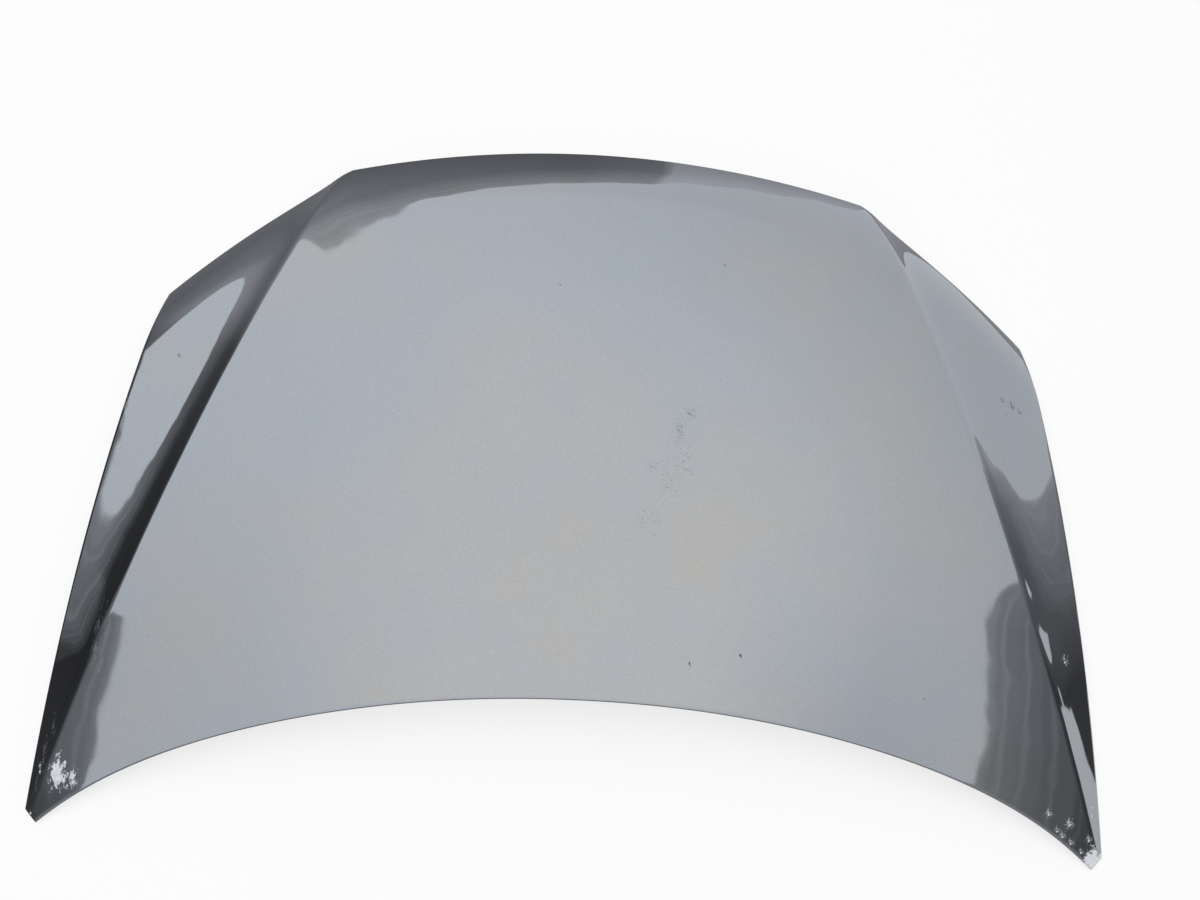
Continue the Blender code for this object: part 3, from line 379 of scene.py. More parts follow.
# paint on the outside: dark metallic grey under clear coat, chipped and scuffed as in the photo
paintSettings = {
    "colour": (0.405, 0.434, 0.478, 1),
    "warm": (0.421, 0.438, 0.459, 1),
    "metallic": 1.0,
    "roughness": 0.030,
    "coat": 1.0,
    "coatRoughness": 0.01,
    "coatIor": 1.5,
    "mottleScale": 4.5,
    "mottleDetail": 4,
    "mottleRaggedness": 0.6,
    "flakeScale": 480.0,
    "flakeContrast": 1.5,
    "flakeShade": (0.80, 1.02),
    "dust": 0.05,
    "dustScale": 7.0,
    "dustColour": (0.50, 0.49, 0.46, 1),
    "dustDulls": 0.6,
    "rubDulls": 0.35,
    "bareRoughness": 0.65,
    "rippleScale": 9.0,                # slow waves of the pressed sheet
    "rippleDetail": 2,
    "rippleRaggedness": 0.5,
    "peelScale": 260.0,                # fine waves of the clear coat
    "peelShare": 0.003,
    "scuffShare": 0.25,
    "reliefDepth": 0.0006,
    "scuffColour": (0.82, 0.83, 0.86, 1),
    "scuffShade": (0.46, 0.48, 0.52, 1),
    "chipColour": (0.07, 0.07, 0.075, 1),
    "scuffs": [  # centre, squeeze, reach, grain, cover
        ((0.6945, 0.4440, 0.0189), (1.2, 0.72, 1), 0.028, 150, 0.23),
        ((0.7010, 0.4370, 0.0180), (0.9, 1.1, 1), 0.013, 220, 0.12),
        ((0.6715, 0.4490, 0.0233), (1.5, 0.70, 1), 0.020, 190, 0.17),
        ((0.6776, 0.4599, 0.0208), (1.2, 1, 1), 0.012, 240, 0.10),
        ((0.7216, 0.4382, 0.0121), (1.5, 0.5, 1), 0.012, 330, 0.10),
        ((-0.6515, 0.4338, 0.0292), (1, 1, 1), 0.016, 520, 0.10),
        ((-0.6841, 0.4468, 0.0209), (1, 1, 1), 0.020, 480, 0.10),
        ((-0.6727, 0.4627, 0.0215), (1, 1, 1), 0.016, 520, 0.09),
        ((-0.6857, 0.4714, 0.0176), (1, 1, 1), 0.016, 500, 0.09),
        ((-0.6645, 0.4555, 0.0240), (1, 1, 1), 0.014, 520, 0.09),
        ((-0.7151, 0.4671, 0.0115), (1, 1, 1), 0.016, 450, 0.10),
        ((-0.7216, 0.4310, 0.0126), (2.0, 0.45, 1), 0.020, 480, 0.09),
        ((-0.7020, 0.4830, 0.0126), (1, 1, 1), 0.014, 400, 0.09),
        ((-0.6880, 0.2260, 0.0325), (1, 0.8, 1), 0.022, 520, 0.06),
        ((-0.7267, 0.5000, 0.0060), (0.9, 1, 1), 0.026, 110, 0.34),
        ((0.7270, 0.4980, 0.0060), (1, 1, 1), 0.009, 160, 0.10),
    ],
    "chips": [
        ((-0.1280, -0.0820, 0.1169), (1, 0.8, 1), 0.050, 560, 0.03),
        ((-0.1135, -0.0560, 0.1178), (1.6, 0.6, 1), 0.070, 560, 0.03),
        ((-0.0775, -0.0025, 0.1189), (1, 1, 1), 0.060, 540, 0.01),
        ((-0.1003, 0.0264, 0.1180), (1, 1, 1), 0.060, 560, 0.0),
        ((-0.0750, 0.0700, 0.1185), (1.2, 0.7, 1), 0.150, 520, -0.03),
        ((-0.1150, -0.0050, 0.1180), (1, 0.6, 1), 0.200, 540, -0.03),
        ((-0.1378, 0.2619, 0.1065), (1.6, 0.6, 1), 0.008, 240, 0.13),
        ((-0.2063, 0.2474, 0.1040), (1, 0.8, 1), 0.006, 200, 0.17),
        ((-0.1770, -0.3200, 0.1030), (1, 1, 1), 0.012, 420, 0.06),
        ((-0.4656, 0.2908, 0.0746), (1, 1, 1), 0.009, 330, 0.08),
        ((0.0660, -0.2670, 0.1120), (1, 1, 1), 0.006, 320, 0.11),
        ((0.6189, -0.1470, 0.0423), (1, 1, 1), 0.012, 380, 0.10),
        ((-0.6140, -0.1571, 0.0428), (1, 1, 1), 0.018, 620, 0.09),
        ((-0.6303, -0.1499, 0.0390), (1, 0.8, 1), 0.022, 600, 0.10),
        ((-0.6433, -0.1427, 0.0360), (1, 1, 1), 0.016, 560, 0.10),
        ((-0.6189, -0.1355, 0.0431), (1, 1, 1), 0.012, 620, 0.08),
    ],
    "rubs": [  # dull marks in the clear coat only
        ((-0.6449, -0.2380, 0.0221), (0.8, 1.3, 1), 0.034, 150, 0.08),
        ((0.6890, -0.0618, 0.0283), (1.5, 0.4, 1), 0.050, 120, 0.08),
        ((0.6650, 0.2600, 0.0400), (1.6, 0.25, 1), 0.060, 150, 0.05),
        ((-0.1000, 0.0100, 0.1180), (0.8, 0.5, 1), 0.060, 260, 0.02),
        ((0.7110, 0.3870, 0.0200), (2.6, 0.5, 1), 0.030, 260, 0.10),
        ((0.7190, 0.4200, 0.0135), (2.6, 0.45, 1), 0.034, 260, 0.11),
        ((0.7240, 0.4580, 0.0095), (3.0, 0.5, 1), 0.026, 260, 0.10),
    ],
}


def joinMasks(tree, spots):
    total = None
    for centre, squeeze, reach, grain, cover in spots:
        values = {"Centre": centre, "Squeeze": squeeze, "Reach": reach, "Grain": grain, "Cover": cover}
        mask = placeGroup(tree, wornSpot, values).outputs["Mask"]
        total = mask if total is None else mathNode(tree, "MAXIMUM", total, mask)
    return total


def buildPaint():
    s = paintSettings
    material, tree, shader = newMaterial(
        "metallicGreyPaint",
        Coat_Roughness=s["coatRoughness"],
        Coat_IOR=s["coatIor"],
    )
    coords = objectCoords(tree)
    scuffs, chips, rubs = (joinMasks(tree, s[kind]) for kind in ("scuffs", "chips", "rubs"))
    flakes = placeGroup(tree, fineGrain, {"Scale": s["flakeScale"], "Contrast": s["flakeContrast"]})
    flakes = flakes.outputs["Mask"]
    dust = placeGroup(tree, settledDust, {"Scale": s["dustScale"], "Amount": s["dust"]}).outputs["Mask"]

    mottle = noiseNode(tree, coords, s["mottleScale"], s["mottleDetail"], s["mottleRaggedness"])["Fac"]
    colour = mixColour(tree, mottle, s["colour"], s["warm"])
    darkest, lightest = s["flakeShade"]
    flakeShade = rampNode(tree, flakes, [(0.0, darkest), (1.0, lightest)])
    colour = mixColour(tree, 1.0, colour, flakeShade, "MULTIPLY")
    colour = mixColour(tree, dust, colour, s["dustColour"])
    colour = mixColour(tree, chips, colour, s["chipColour"])
    torn = mixColour(tree, flakes, s["scuffShade"], s["scuffColour"])
    tree.links.new(mixColour(tree, scuffs, colour, torn), shader.inputs["Base Color"])

    whole = mathNode(tree, "SUBTRACT", 1.0, mathNode(tree, "MAXIMUM", scuffs, chips))
    tree.links.new(mathNode(tree, "MULTIPLY", whole, s["metallic"]), shader.inputs["Metallic"])
    tree.links.new(mathNode(tree, "MULTIPLY", whole, s["coat"]), shader.inputs["Coat Weight"])
    dull = mathNode(tree, "MULTIPLY", dust, s["dustDulls"])
    dull = mathNode(tree, "ADD", dull, mathNode(tree, "MULTIPLY", rubs, s["rubDulls"]))
    rough = mathNode(tree, "ADD", mixValue(tree, whole, s["bareRoughness"], s["roughness"]), dull)
    tree.links.new(rough, shader.inputs["Roughness"])

    ripple = noiseNode(tree, coords, s["rippleScale"], s["rippleDetail"], s["rippleRaggedness"])["Fac"]
    peel = placeGroup(tree, fineGrain, {"Scale": s["peelScale"], "Contrast": 1.0}).outputs["Height"]
    relief = mathNode(tree, "ADD", ripple, mathNode(tree, "MULTIPLY", peel, s["peelShare"]))
    relief = mathNode(tree, "SUBTRACT", relief, mathNode(tree, "MULTIPLY", scuffs, s["scuffShare"]))
    tree.links.new(bumpNode(tree, relief, s["reliefDepth"]), shader.inputs["Normal"])
    return material


# plainer finishes of the inner pieces: colour, roughness, metallic, grain scale, grain depth, dust
finishes = {
    "framePaint": ((0.150, 0.158, 0.170), 0.42, 0.45, 380.0, 0.00004, 0.45),
    "dippedSteel": ((0.175, 0.180, 0.178), 0.52, 0.35, 300.0, 0.00005, 0.35),
    "zincSteel": ((0.560, 0.545, 0.500), 0.34, 0.95, 520.0, 0.00003, 0.20),
    "blackRubber": ((0.022, 0.022, 0.023), 0.78, 0.0, 600.0, 0.00008, 0.30),
    "blackPlastic": ((0.030, 0.030, 0.031), 0.46, 0.0, 700.0, 0.00004, 0.25),
    "greyMastic": ((0.090, 0.090, 0.088), 0.82, 0.0, 150.0, 0.00020, 0.15),
}
finishSettings = {
    "grainContrast": 1.2,
    "darkShade": 0.82,
    "lightShade": 1.14,
    "roughnessSpan": 0.12,             # between the grain's hollows and its tops
    "dustScale": 11.0,
    "dustColour": (0.36, 0.34, 0.30, 1),
    "dustDulls": 0.3,
}


def buildFinish(name):
    colour, roughness, metallic, scale, depth, dustAmount = finishes[name]
    s = finishSettings
    material, tree, shader = newMaterial(name, Metallic=metallic)
    grain = placeGroup(tree, fineGrain, {"Scale": scale, "Contrast": s["grainContrast"]}).outputs
    dust = placeGroup(tree, settledDust, {"Scale": s["dustScale"], "Amount": dustAmount}).outputs["Mask"]
    dark = (*[s["darkShade"] * value for value in colour], 1)
    light = (*[min(1.0, s["lightShade"] * value) for value in colour], 1)
    shade = mixColour(tree, grain["Mask"], dark, light)
    tree.links.new(mixColour(tree, dust, shade, s["dustColour"]), shader.inputs["Base Color"])
    span = s["roughnessSpan"]
    rough = mathNode(tree, "ADD", roughness - span / 2, mathNode(tree, "MULTIPLY", grain["Mask"], span))
    dull = mathNode(tree, "MULTIPLY", dust, s["dustDulls"])
    tree.links.new(mathNode(tree, "ADD", rough, dull, clamp=True), shader.inputs["Roughness"])
    tree.links.new(bumpNode(tree, grain["Height"], depth), shader.inputs["Normal"])
    return material


paint = buildPaint()
inner = {name: buildFinish(name) for name in finishes}
print("materials built")


# the outer skin: a fine smooth sheet with its edge folded under as a hem
outerSkin = {
    "centreColumns": 44,               # faces from the middle to the nose's corner
    "cornerColumns": 12,               # from there to the crease
    "shoulderColumns": 40,             # and on to the side
    "cornerShare": 0.04,               # share of the width beside the crease
    "rows": 120,
    "noseCrowding": 1.5,               # over 1, the faces are smaller there
    "rearCrowding": 1.15,
    "cornerCrowding": 1.2,
    "creaseCrowding": 1.6,
    "shoulderCrowding": 2.0,
    "sideCrowding": 1.3,
    "foldSteps": 7,
    "foldRadius": 0.0015,
    "hemFlange": 0.010,
    "sheet": 0.0007,
    "mirrorGap": 0.00005,              # halves closer than this are joined
    "placeDigits": 7,                  # to which places are matched after an extrusion
    "shadingAngle": 40,
}


def patchPoint(rear, front, innerLine, outerLine, across, along):
    sides = rear(across).lerp(front(across), along) + innerLine(along).lerp(outerLine(along), across)
    start, end = rear(0).lerp(front(0), along), rear(1).lerp(front(1), along)
    return sides - start.lerp(end, across)


def splitShare(share):  # how far across the middle, and how far across the corner beside the crease
    grilleShare = 1 - outerSkin["cornerShare"]
    return min(1.0, share / grilleShare), max(0.0, (share - grilleShare) / outerSkin["cornerShare"])


def centreRear(share):
    middle, corner = splitShare(share)
    if corner == 0:
        return Vector((cornerX * middle, rearLine(cornerX * middle)))
    return Vector((cornerX, -skinShape["rearSweep"])).lerp(Vector((creaseTipX, creaseTipU)), corner)


def centreFront(share):
    middle, corner = splitShare(share)
    x = skinShape["grilleX"] * middle + (creaseEnd().x - skinShape["grilleX"]) * corner
    return Vector((x, frontLine(x)))


def middleLine(share):
    return Vector((0, skinShape["length"] * share))


def shoulderRear(share):
    return Vector((creaseTipX, creaseTipU)).lerp(Vector((skinShape["halfWidth"], tipU)), share)


def shoulderFront(share):
    start = creaseEnd().x
    x = start + (skinShape["lampCorner"][0] - start) * share
    return Vector((x, frontLine(x)))


def skinColumns():
    s, columns = outerSkin, []
    grilleShare = 1 - s["cornerShare"]
    for k in range(s["centreColumns"]):
        columns.append((False, grilleShare * (1 - (1 - k / s["centreColumns"]) ** s["cornerCrowding"])))
    for k in range(s["cornerColumns"]):
        share = 1 - (1 - k / s["cornerColumns"]) ** s["creaseCrowding"]
        columns.append((False, grilleShare + s["cornerShare"] * share))
    for k in range(s["shoulderColumns"] + 1):
        share = (k / s["shoulderColumns"]) ** s["shoulderCrowding"]
        columns.append((True, 1 - (1 - share) ** s["sideCrowding"]))
    return columns


def skinRows():
    s = outerSkin
    shares = [(k / s["rows"]) ** s["rearCrowding"] for k in range(s["rows"] + 1)]
    return [1 - (1 - share) ** s["noseCrowding"] for share in shares]


def skinPoint(column, along):
    isShoulder, across = column
    if isShoulder:
        return patchPoint(shoulderRear, shoulderFront, creaseLine, sideLine, across, along)
    return patchPoint(centreRear, centreFront, middleLine, creaseLine, across, along)


def outwardSteps(path):  # at each point of the edge, the step that moves both its sides out by one
    steps = []
    for i in range(len(path)):
        normals = []
        for a, b in ((i - 1, i), (i, i + 1)):
            if a >= 0 and b < len(path):
                run = (path[b] - path[a]).normalized()
                normals.append(Vector((run.y, -run.x)))
        if len(normals) == 1:
            steps.append(Vector((0, math.copysign(1, normals[0].y))))
        else:
            steps.append((normals[0] + normals[1]) / (1 + normals[0].dot(normals[1])))
    return steps


def placeKey(place):
    return tuple(round(value, outerSkin["placeDigits"]) for value in place)


def foldEdge(piece, ring, places):  # extrudes the ring's edges and puts the new points in their places
    startEditing(piece, "EDGE")
    mesh = piece.data
    order = {placeKey(mesh.vertices[index].co): k for k, index in enumerate(ring)}
    pairs = {frozenset(pair) for pair in zip(ring, ring[1:])}
    for edge in mesh.edges:
        edge.select = frozenset(edge.vertices) in pairs
    before = len(mesh.vertices)
    bpy.ops.object.mode_set(mode="EDIT")
    bpy.ops.mesh.extrude_edges_move()
    bpy.ops.object.mode_set(mode="OBJECT")
    fresh = [None] * len(ring)
    for vertex in mesh.vertices[before:]:
        fresh[order[placeKey(vertex.co)]] = vertex.index
    for index, place in zip(fresh, places):
        mesh.vertices[index].co = place
    return fresh


def fitToBox(piece, node):
    low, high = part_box(node)
    points = [vertex.co for vertex in piece.data.vertices]
    ownLow = [min(point[k] for point in points) for k in range(3)]
    ownHigh = [max(point[k] for point in points) for k in range(3)]
    scale = [(high[k] - low[k]) / (ownHigh[k] - ownLow[k]) for k in range(3)]
    shift = Matrix.Translation([low[k] - ownLow[k] * scale[k] for k in range(3)])
    piece.data.transform(shift @ Matrix.Diagonal((*scale, 1)))
    print("skin fitted to its box by", [round(1000 * (value - 1), 3) for value in scale], "in a thousand")


def makeOuterSkin():
    s = outerSkin
    columns, rows = skinColumns(), skinRows()
    across, along = len(columns), len(rows)
    deselectAll()
    bpy.ops.mesh.primitive_grid_add(x_subdivisions=across - 1, y_subdivisions=along - 1, size=1)
    piece = bpy.context.object
    piece.name = piece.data.name = "outerSkin"
    for index, vertex in enumerate(piece.data.vertices):
        vertex.co = skinPlace(skinPoint(columns[index % across], rows[index // across]), 0)
    ring = list(range(across)) + [j * across + across - 1 for j in range(1, along)]
    ring += [(along - 1) * across + i for i in reversed(range(across - 1))]
    path = [skinPoint(column, 0) for column in columns]
    path += [skinPoint(columns[-1], row) for row in rows[1:]]
    path += [skinPoint(column, 1) for column in reversed(columns[:-1])]
    steps = outwardSteps(path)
    radius = s["foldRadius"]
    for k in range(1, s["foldSteps"] + 1):
        turn = math.pi * k / s["foldSteps"]
        outwards, depth = radius * math.sin(turn), radius * (1 - math.cos(turn))
        places = [skinPlace(point + outwards * step, depth) for point, step in zip(path, steps)]
        ring = foldEdge(piece, ring, places)
    flange = [skinPlace(point - s["hemFlange"] * step, 2 * radius) for point, step in zip(path, steps)]
    foldEdge(piece, ring, flange)
    applyModifier(piece, "MIRROR", use_clip=True, merge_threshold=s["mirrorGap"])
    applyModifier(piece, "SOLIDIFY", thickness=s["sheet"], offset=-1, use_even_offset=True)
    fitToBox(piece, "outer_skin")
    roundShading(piece, s["shadingAngle"])
    finishPiece(piece, paint, "paint", "outer_skin")
    print("outer skin made:", len(piece.data.polygons), "faces")


makeOuterSkin()


# the inner frame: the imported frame's own mesh, merged so that its pressed walls shade round
innerFrame = {"mergeGap": 0.00002, "shadingAngle": 38}


def makeInnerFrame():
    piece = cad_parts["inner_frame"].copy()
    piece.data = piece.data.copy()
    piece.name = piece.data.name = "innerFrame"
    piece.parent = None
    bpy.context.scene.collection.objects.link(piece)
    makeActive(piece)
    bpy.ops.object.mode_set(mode="EDIT")
    bpy.ops.mesh.select_all(action="SELECT")
    bpy.ops.mesh.remove_doubles(threshold=innerFrame["mergeGap"])
    bpy.ops.object.mode_set(mode="OBJECT")
    roundShading(piece, innerFrame["shadingAngle"])
    finishPiece(piece, inner["framePaint"], "frame_paint", "inner_frame")
    print("inner frame made")


makeInnerFrame()


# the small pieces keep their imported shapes, and get a finish by the start of their names
nodeFinish = {
    "hinge_reinforcement": "dippedSteel",
    "latch_reinforcement": "dippedSteel",
    "hinge_nut": "zincSteel",
    "latch_nut": "zincSteel",
    "striker": "zincSteel",
    "rubber_stop": "blackRubber",
    "prop_rod_bush": "blackPlastic",
    "mastic_bead": "greyMastic",
}
for nodeName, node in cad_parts.items():
    for start, finishName in nodeFinish.items():
        if nodeName.startswith(start):
            node.data.materials.clear()
            node.data.materials.append(inner[finishName])
print("small pieces given their finishes")


# floor, light and camera
floorSettings = {
    "size": 30.0,
    "drop": 0.0005,                    # keeps it just clear of the part
    "colour": (0.90, 0.90, 0.90),
    "ownLight": 0.7,
    "roughness": 0.9,
    "specular": 0.1,
    "grainScale": 40.0,
    "grainContrast": 0.2,
    "grainShade": 0.99,
}


def makeFloor():
    s = floorSettings
    deselectAll()
    bpy.ops.mesh.primitive_plane_add(size=s["size"], location=(0, 0, -s["drop"]))
    floor = bpy.context.object
    floor.name = "paleFloor"
    material, tree, shader = newMaterial(
        "paleFloor",
        Roughness=s["roughness"],
        Specular_IOR_Level=s["specular"],
    )
    grain = placeGroup(tree, fineGrain, {"Scale": s["grainScale"], "Contrast": s["grainContrast"]})
    low = tuple(s["grainShade"] * value for value in s["colour"])
    shade = mixColour(tree, grain.outputs["Mask"], (*low, 1), (*s["colour"], 1))
    tree.links.new(shade, shader.inputs["Base Color"])
    glow = addNode(tree, "ShaderNodeEmission", {"Color": (1, 1, 1, 1), "Strength": 1.0})
    path = addNode(tree, "ShaderNodeLightPath")
    share = mathNode(tree, "MULTIPLY", path.outputs["Is Camera Ray"], s["ownLight"])
    mix = addNode(tree, "ShaderNodeMixShader", {0: share, 1: shader.outputs[0], 2: glow.outputs[0]})
    tree.links.new(mix.outputs[0], tree.nodes["Material Output"].inputs["Surface"])
    floor.data.materials.append(material)
    floor.visible_glossy = False  # the paint mirrors the surroundings' own ground


# overcast light above a darker band of surroundings; every list runs round by bearing in degrees
surroundings = {
    "skyline": [  # height in degrees at which the open sky starts
        (-180, 46), (-177, 45), (-174, 42.5), (-172, 36), (-166, 32.5), (-163, 30.5), (-161, 26),
        (-158, 16), (-154, -6), (-133, -12), (-127, -6), (-115, 11), (-109, 19), (-102, 25), (-96, 32),
        (-85, 36), (-76, 38.5), (-67, 42.4), (-61, 45.8), (-50, 45.2), (-47, 42), (-44, 35), (-40, 31),
        (-36, 27), (-29, 27.2), (-13, 31.6), (-7, 33.4), (0, 34.5), (4, 43.8), (24, 39.5), (161, 45.2),
        (180, 46),
    ],
    "sunk": 0.3,  # added to the skyline's sine while it is in its ramp, which holds no value under zero
    "band": [  # brightness under it
        (-180, 0.07), (-176, 0.12), (-168, 0.16), (-162, 0.26), (-157, 0.52), (-123, 0.52),
        (-116, 0.60), (-98, 0.52), (-97, 0.25), (-88, 0.19), (-66, 0.24), (-50, 0.32), (-34, 0.28),
        (-29, 0.10), (-18, 0.05), (0, 0.035), (12, 0.05), (28, 0.10), (60, 0.34), (130, 0.34),
        (156, 0.07), (180, 0.06),
    ],
    "haze": [  # how much of the sky shows in the layers just under the skyline
        (-180, 0.72), (-175, 0.58), (-165, 0.50), (-120, 0.60), (-90, 0.62), (-60, 0.55), (-45, 0.50),
        (-25, 0.20), (-18, 0.35), (-8, 0.62), (2, 0.62), (5, 0.66), (15, 0.56), (26, 0.36), (150, 0.60),
        (166, 0.60), (171, 0.70), (180, 0.72),
    ],
    "hazeFloor": [  # height in degrees under which no sky shows in the layers
        (-180, 0), (-40, 0), (-22, 22), (-10, 28), (-6, 29), (-1, 18), (13, 22), (16, 33), (20, 35),
        (26, 38), (32, 0), (180, 0),
    ],
    "hazeFade": (-0.05, 0.05),
    "lowSky": [  # brightness of the sky low down
        (-180, 0.80), (-150, 0.80), (-110, 0.84), (-80, 0.92), (-50, 1.02), (-20, 0.98), (10, 0.86),
        (90, 0.88), (180, 0.80),
    ],
    "ringClimb": (0.66, 0.86),         # sine of the height over which the low sky gives way to the ring
    "ringSky": [  # brightness of the sky half way up
        (-180, 0.92), (-157, 0.97), (-112, 0.985), (-67, 1.045), (-22, 1.01), (22, 0.93), (90, 0.92),
        (157, 0.80), (180, 0.91),
    ],
    "topClimb": (0.84, 0.97),
    "topSky": (1.115, 1.065, 1.015, 1),
    "layers": [  # share of the sky against the distance under the skyline
        (0.0, 0.62), (0.05, 0.50), (0.09, 0.64), (0.12, 0.44), (0.19, 0.40), (0.24, 0.54), (0.27, 0.34),
        (0.36, 0.26), (0.42, 0.38), (0.45, 0.22), (0.60, 0.11), (0.65, 0.19), (0.68, 0.08), (0.84, 0.0),
    ],
    "layerReach": 0.23,
    "lowLight": [  # height in degrees up to which the ground at the right is bright
        (-180, 16), (-179.6, 9), (-179, 9), (-178.4, 19), (-178, 9), (-176.3, 9), (-175.6, 20),
        (-173.4, 20), (-172.6, 9), (-171.4, 9), (-170.6, 16), (-164, 0), (146, 0), (152, 24), (172, 23),
        (179, 22), (180, 16),
    ],
    "lowShade": 0.80,
    "lowLean": 0.5,
    "lowestTop": 0.08,                 # lower tops than this don't count
    "bandHeights": (0.0, 0.4),         # sine of the height over which the band brightens
    "bandRise": (0.75, 1.2),
    "bandTint": (1.0, 0.99, 1.05, 1),
    "skyTint": (0.955, 1.0, 1.045, 1),
    "warmTint": (1.015, 1.0, 0.97, 1),
    "edge": 0.003,                     # half the softness of the skyline
    "wobbleScale": 5.0,                # of the skyline's unevenness
    "wobbleDetail": 4,
    "wobbleRaggedness": 0.55,
    "lean": 0.035,                     # how far it moves the skyline up and down
    "sway": 0.008,                     # and sideways
    "cloudScale": 3.2,
    "cloudDetail": 4,
    "cloudRaggedness": 0.6,
    "cloudEdge": (0.42, 0.66),
}


def sineOf(angle):
    return math.sin(math.radians(angle))


def aroundRamp(tree, turn, stops, interpolation="LINEAR"):
    places = [((bearing + 180) / 360, value) for bearing, value in stops]
    return rampNode(tree, turn, places, interpolation)


def heightRamp(tree, turn, stops, sunk=0.0, interpolation="LINEAR"):  # gives the sine of its stops' degrees
    raised = [(bearing, sineOf(angle) + sunk) for bearing, angle in stops]
    ramp = aroundRamp(tree, turn, raised, interpolation)
    return mathNode(tree, "SUBTRACT", ramp, sunk) if sunk else ramp


def makeSky(tree, direction, height, turn):
    s = surroundings
    cloud = noiseNode(tree, direction, s["cloudScale"], s["cloudDetail"], s["cloudRaggedness"])["Fac"]
    tint = mixColour(tree, spanNode(tree, cloud, s["cloudEdge"]), s["skyTint"], s["warmTint"])
    low, ring = aroundRamp(tree, turn, s["lowSky"]), aroundRamp(tree, turn, s["ringSky"])
    sky = mixColour(tree, spanNode(tree, height, s["ringClimb"]), low, ring)
    sky = mixColour(tree, spanNode(tree, height, s["topClimb"]), sky, s["topSky"])
    return mixColour(tree, 1.0, sky, tint, "MULTIPLY")


def makeBand(tree, height, turn):
    s = surroundings
    rise = spanNode(tree, height, s["bandHeights"], s["bandRise"])
    band = {0: aroundRamp(tree, turn, s["band"]), "Scale": rise}
    band = addNode(tree, "ShaderNodeVectorMath", band, operation="SCALE").outputs[0]
    return mixColour(tree, 1.0, band, s["bandTint"], "MULTIPLY")


def makeLayers(tree, height, turn, below):  # how much of the sky shows in the band
    s = surroundings
    depth = mathNode(tree, "DIVIDE", below, s["layerReach"], clamp=True)
    layers = rampNode(tree, depth, s["layers"], "CONSTANT")
    layers = mathNode(tree, "MULTIPLY", layers, aroundRamp(tree, turn, s["haze"]))
    over = mathNode(tree, "SUBTRACT", height, heightRamp(tree, turn, s["hazeFloor"]))
    return mathNode(tree, "MULTIPLY", layers, spanNode(tree, over, s["hazeFade"]))


def makeLowLight(tree, height, turn, lean):
    s = surroundings
    top = mathNode(tree, "MULTIPLY", lean, s["lowLean"])
    top = mathNode(tree, "ADD", heightRamp(tree, turn, s["lowLight"]), top)
    low = spanNode(tree, mathNode(tree, "SUBTRACT", top, height), (-s["edge"], s["edge"]))
    return mathNode(tree, "MULTIPLY", low, mathNode(tree, "GREATER_THAN", top, s["lowestTop"]))


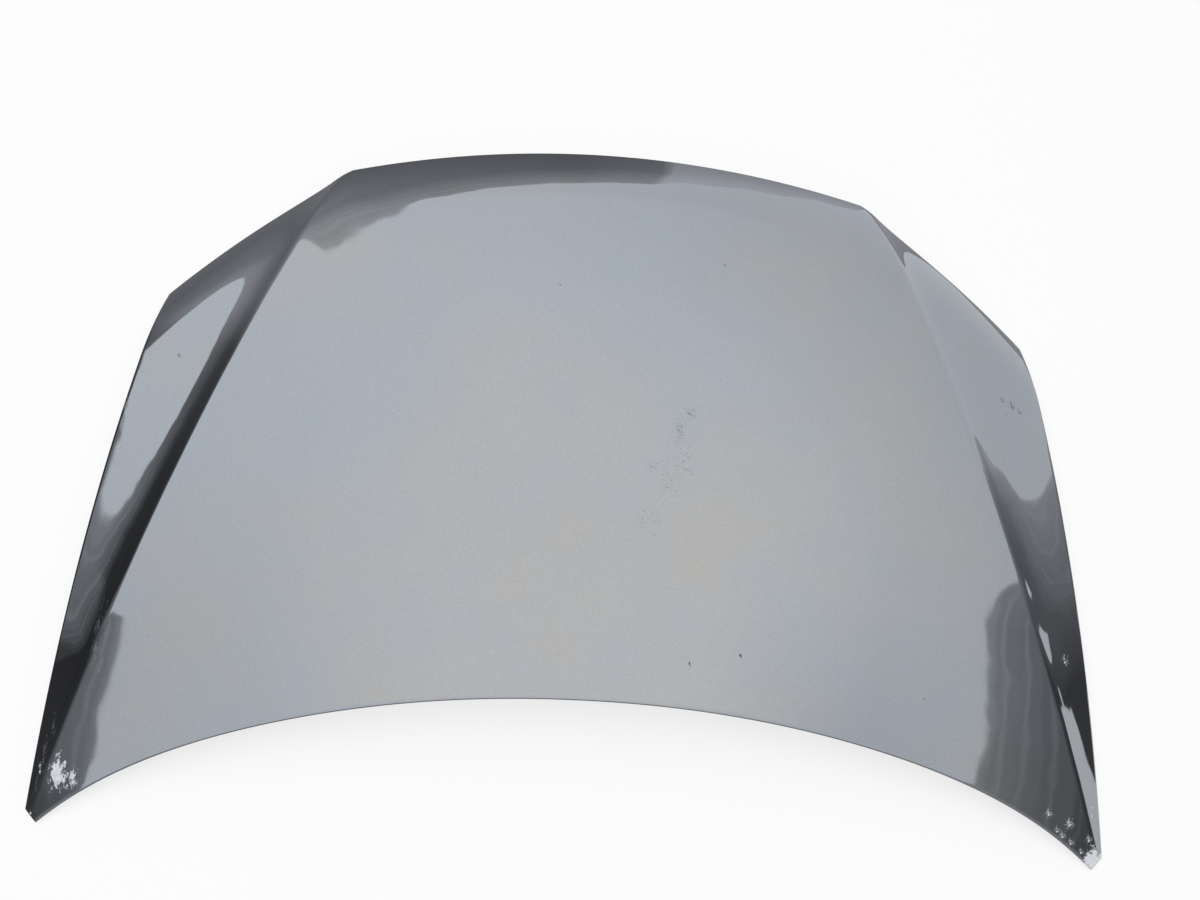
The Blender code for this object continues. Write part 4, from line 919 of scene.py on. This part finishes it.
def makeWorld():
    s = surroundings
    world = bpy.data.worlds.new("overcastLight")
    bpy.context.scene.world = world
    world.use_nodes = True
    tree = world.node_tree
    background = tree.nodes["Background"]
    direction = addNode(tree, "ShaderNodeTexCoord").outputs["Generated"]
    axes = addNode(tree, "ShaderNodeSeparateXYZ", {0: direction}).outputs
    height = axes["Z"]
    wobble = noiseNode(tree, direction, s["wobbleScale"], s["wobbleDetail"], s["wobbleRaggedness"])
    wobble = addNode(tree, "ShaderNodeSeparateColor", {0: wobble["Color"]}).outputs
    bearing = mathNode(tree, "ARCTAN2", axes["Y"], axes["X"])
    turn = mathNode(tree, "ADD", mathNode(tree, "DIVIDE", bearing, 2 * math.pi), 0.5)
    sway = mathNode(tree, "SUBTRACT", wobble["Green"], 0.5)
    swayed = mathNode(tree, "MULTIPLY_ADD", sway, s["sway"], turn)
    lean = mathNode(tree, "MULTIPLY", mathNode(tree, "SUBTRACT", wobble["Red"], 0.5), s["lean"])
    skyline = heightRamp(tree, swayed, s["skyline"], s["sunk"], "EASE")
    below = mathNode(tree, "SUBTRACT", mathNode(tree, "ADD", skyline, lean), height)
    openSky = spanNode(tree, below, (s["edge"], -s["edge"]))

    sky = makeSky(tree, direction, height, turn)
    lit = mixColour(tree, makeLayers(tree, height, swayed, below), makeBand(tree, height, swayed), sky)
    lit = mixColour(tree, makeLowLight(tree, height, swayed, lean), lit, (*[s["lowShade"]] * 3, 1))
    lit = mixColour(tree, openSky, lit, sky)
    path = addNode(tree, "ShaderNodeLightPath")
    shown = mixColour(tree, path.outputs["Is Camera Ray"], lit, (1, 1, 1, 1))  # plain white behind the part
    tree.links.new(shown, background.inputs["Color"])
    background.inputs["Strength"].default_value = 1.0


overheadLamp = {"size": 4.0, "place": (0.6, -0.5, 4.0), "watts": 70.0}


def makeLamp():
    s = overheadLamp
    data = bpy.data.lights.new("overheadSoftbox", "AREA")
    data.shape, data.size, data.energy = "SQUARE", s["size"], s["watts"]
    lamp = bpy.data.objects.new("overheadSoftbox", data)
    lamp.location = s["place"]
    lamp.rotation_euler = (-lamp.location).to_track_quat("-Z", "Y").to_euler()
    lamp.visible_glossy = False
    bpy.context.scene.collection.objects.link(lamp)


# camera above the rear edge, looking down and forward as in the photo
cameraSettings = {
    "place": (0.04178, 0.30124, 1.37465),
    "right": (-0.99757, -0.04941, 0.04904),
    "depth": (-0.03525, -0.24888, -0.96789),
    "lens": 28.11,
    "sensor": 36,
}


def makeCamera():
    s = cameraSettings
    data = bpy.data.cameras.new("photoCamera")
    data.sensor_fit, data.sensor_width, data.lens = "HORIZONTAL", s["sensor"], s["lens"]
    camera = bpy.data.objects.new("photoCamera", data)
    depth = Vector(s["depth"]).normalized()
    right = Vector(s["right"]).normalized()
    up = right.cross(depth)
    turn = Matrix((right, up, -depth)).transposed().to_4x4()
    camera.matrix_world = Matrix.Translation(s["place"]) @ turn
    bpy.context.scene.collection.objects.link(camera)
    bpy.context.scene.camera = camera


makeFloor()
makeWorld()
makeLamp()
makeCamera()
bpy.context.scene.view_settings.view_transform = "Standard"
print("floor, light and camera set")
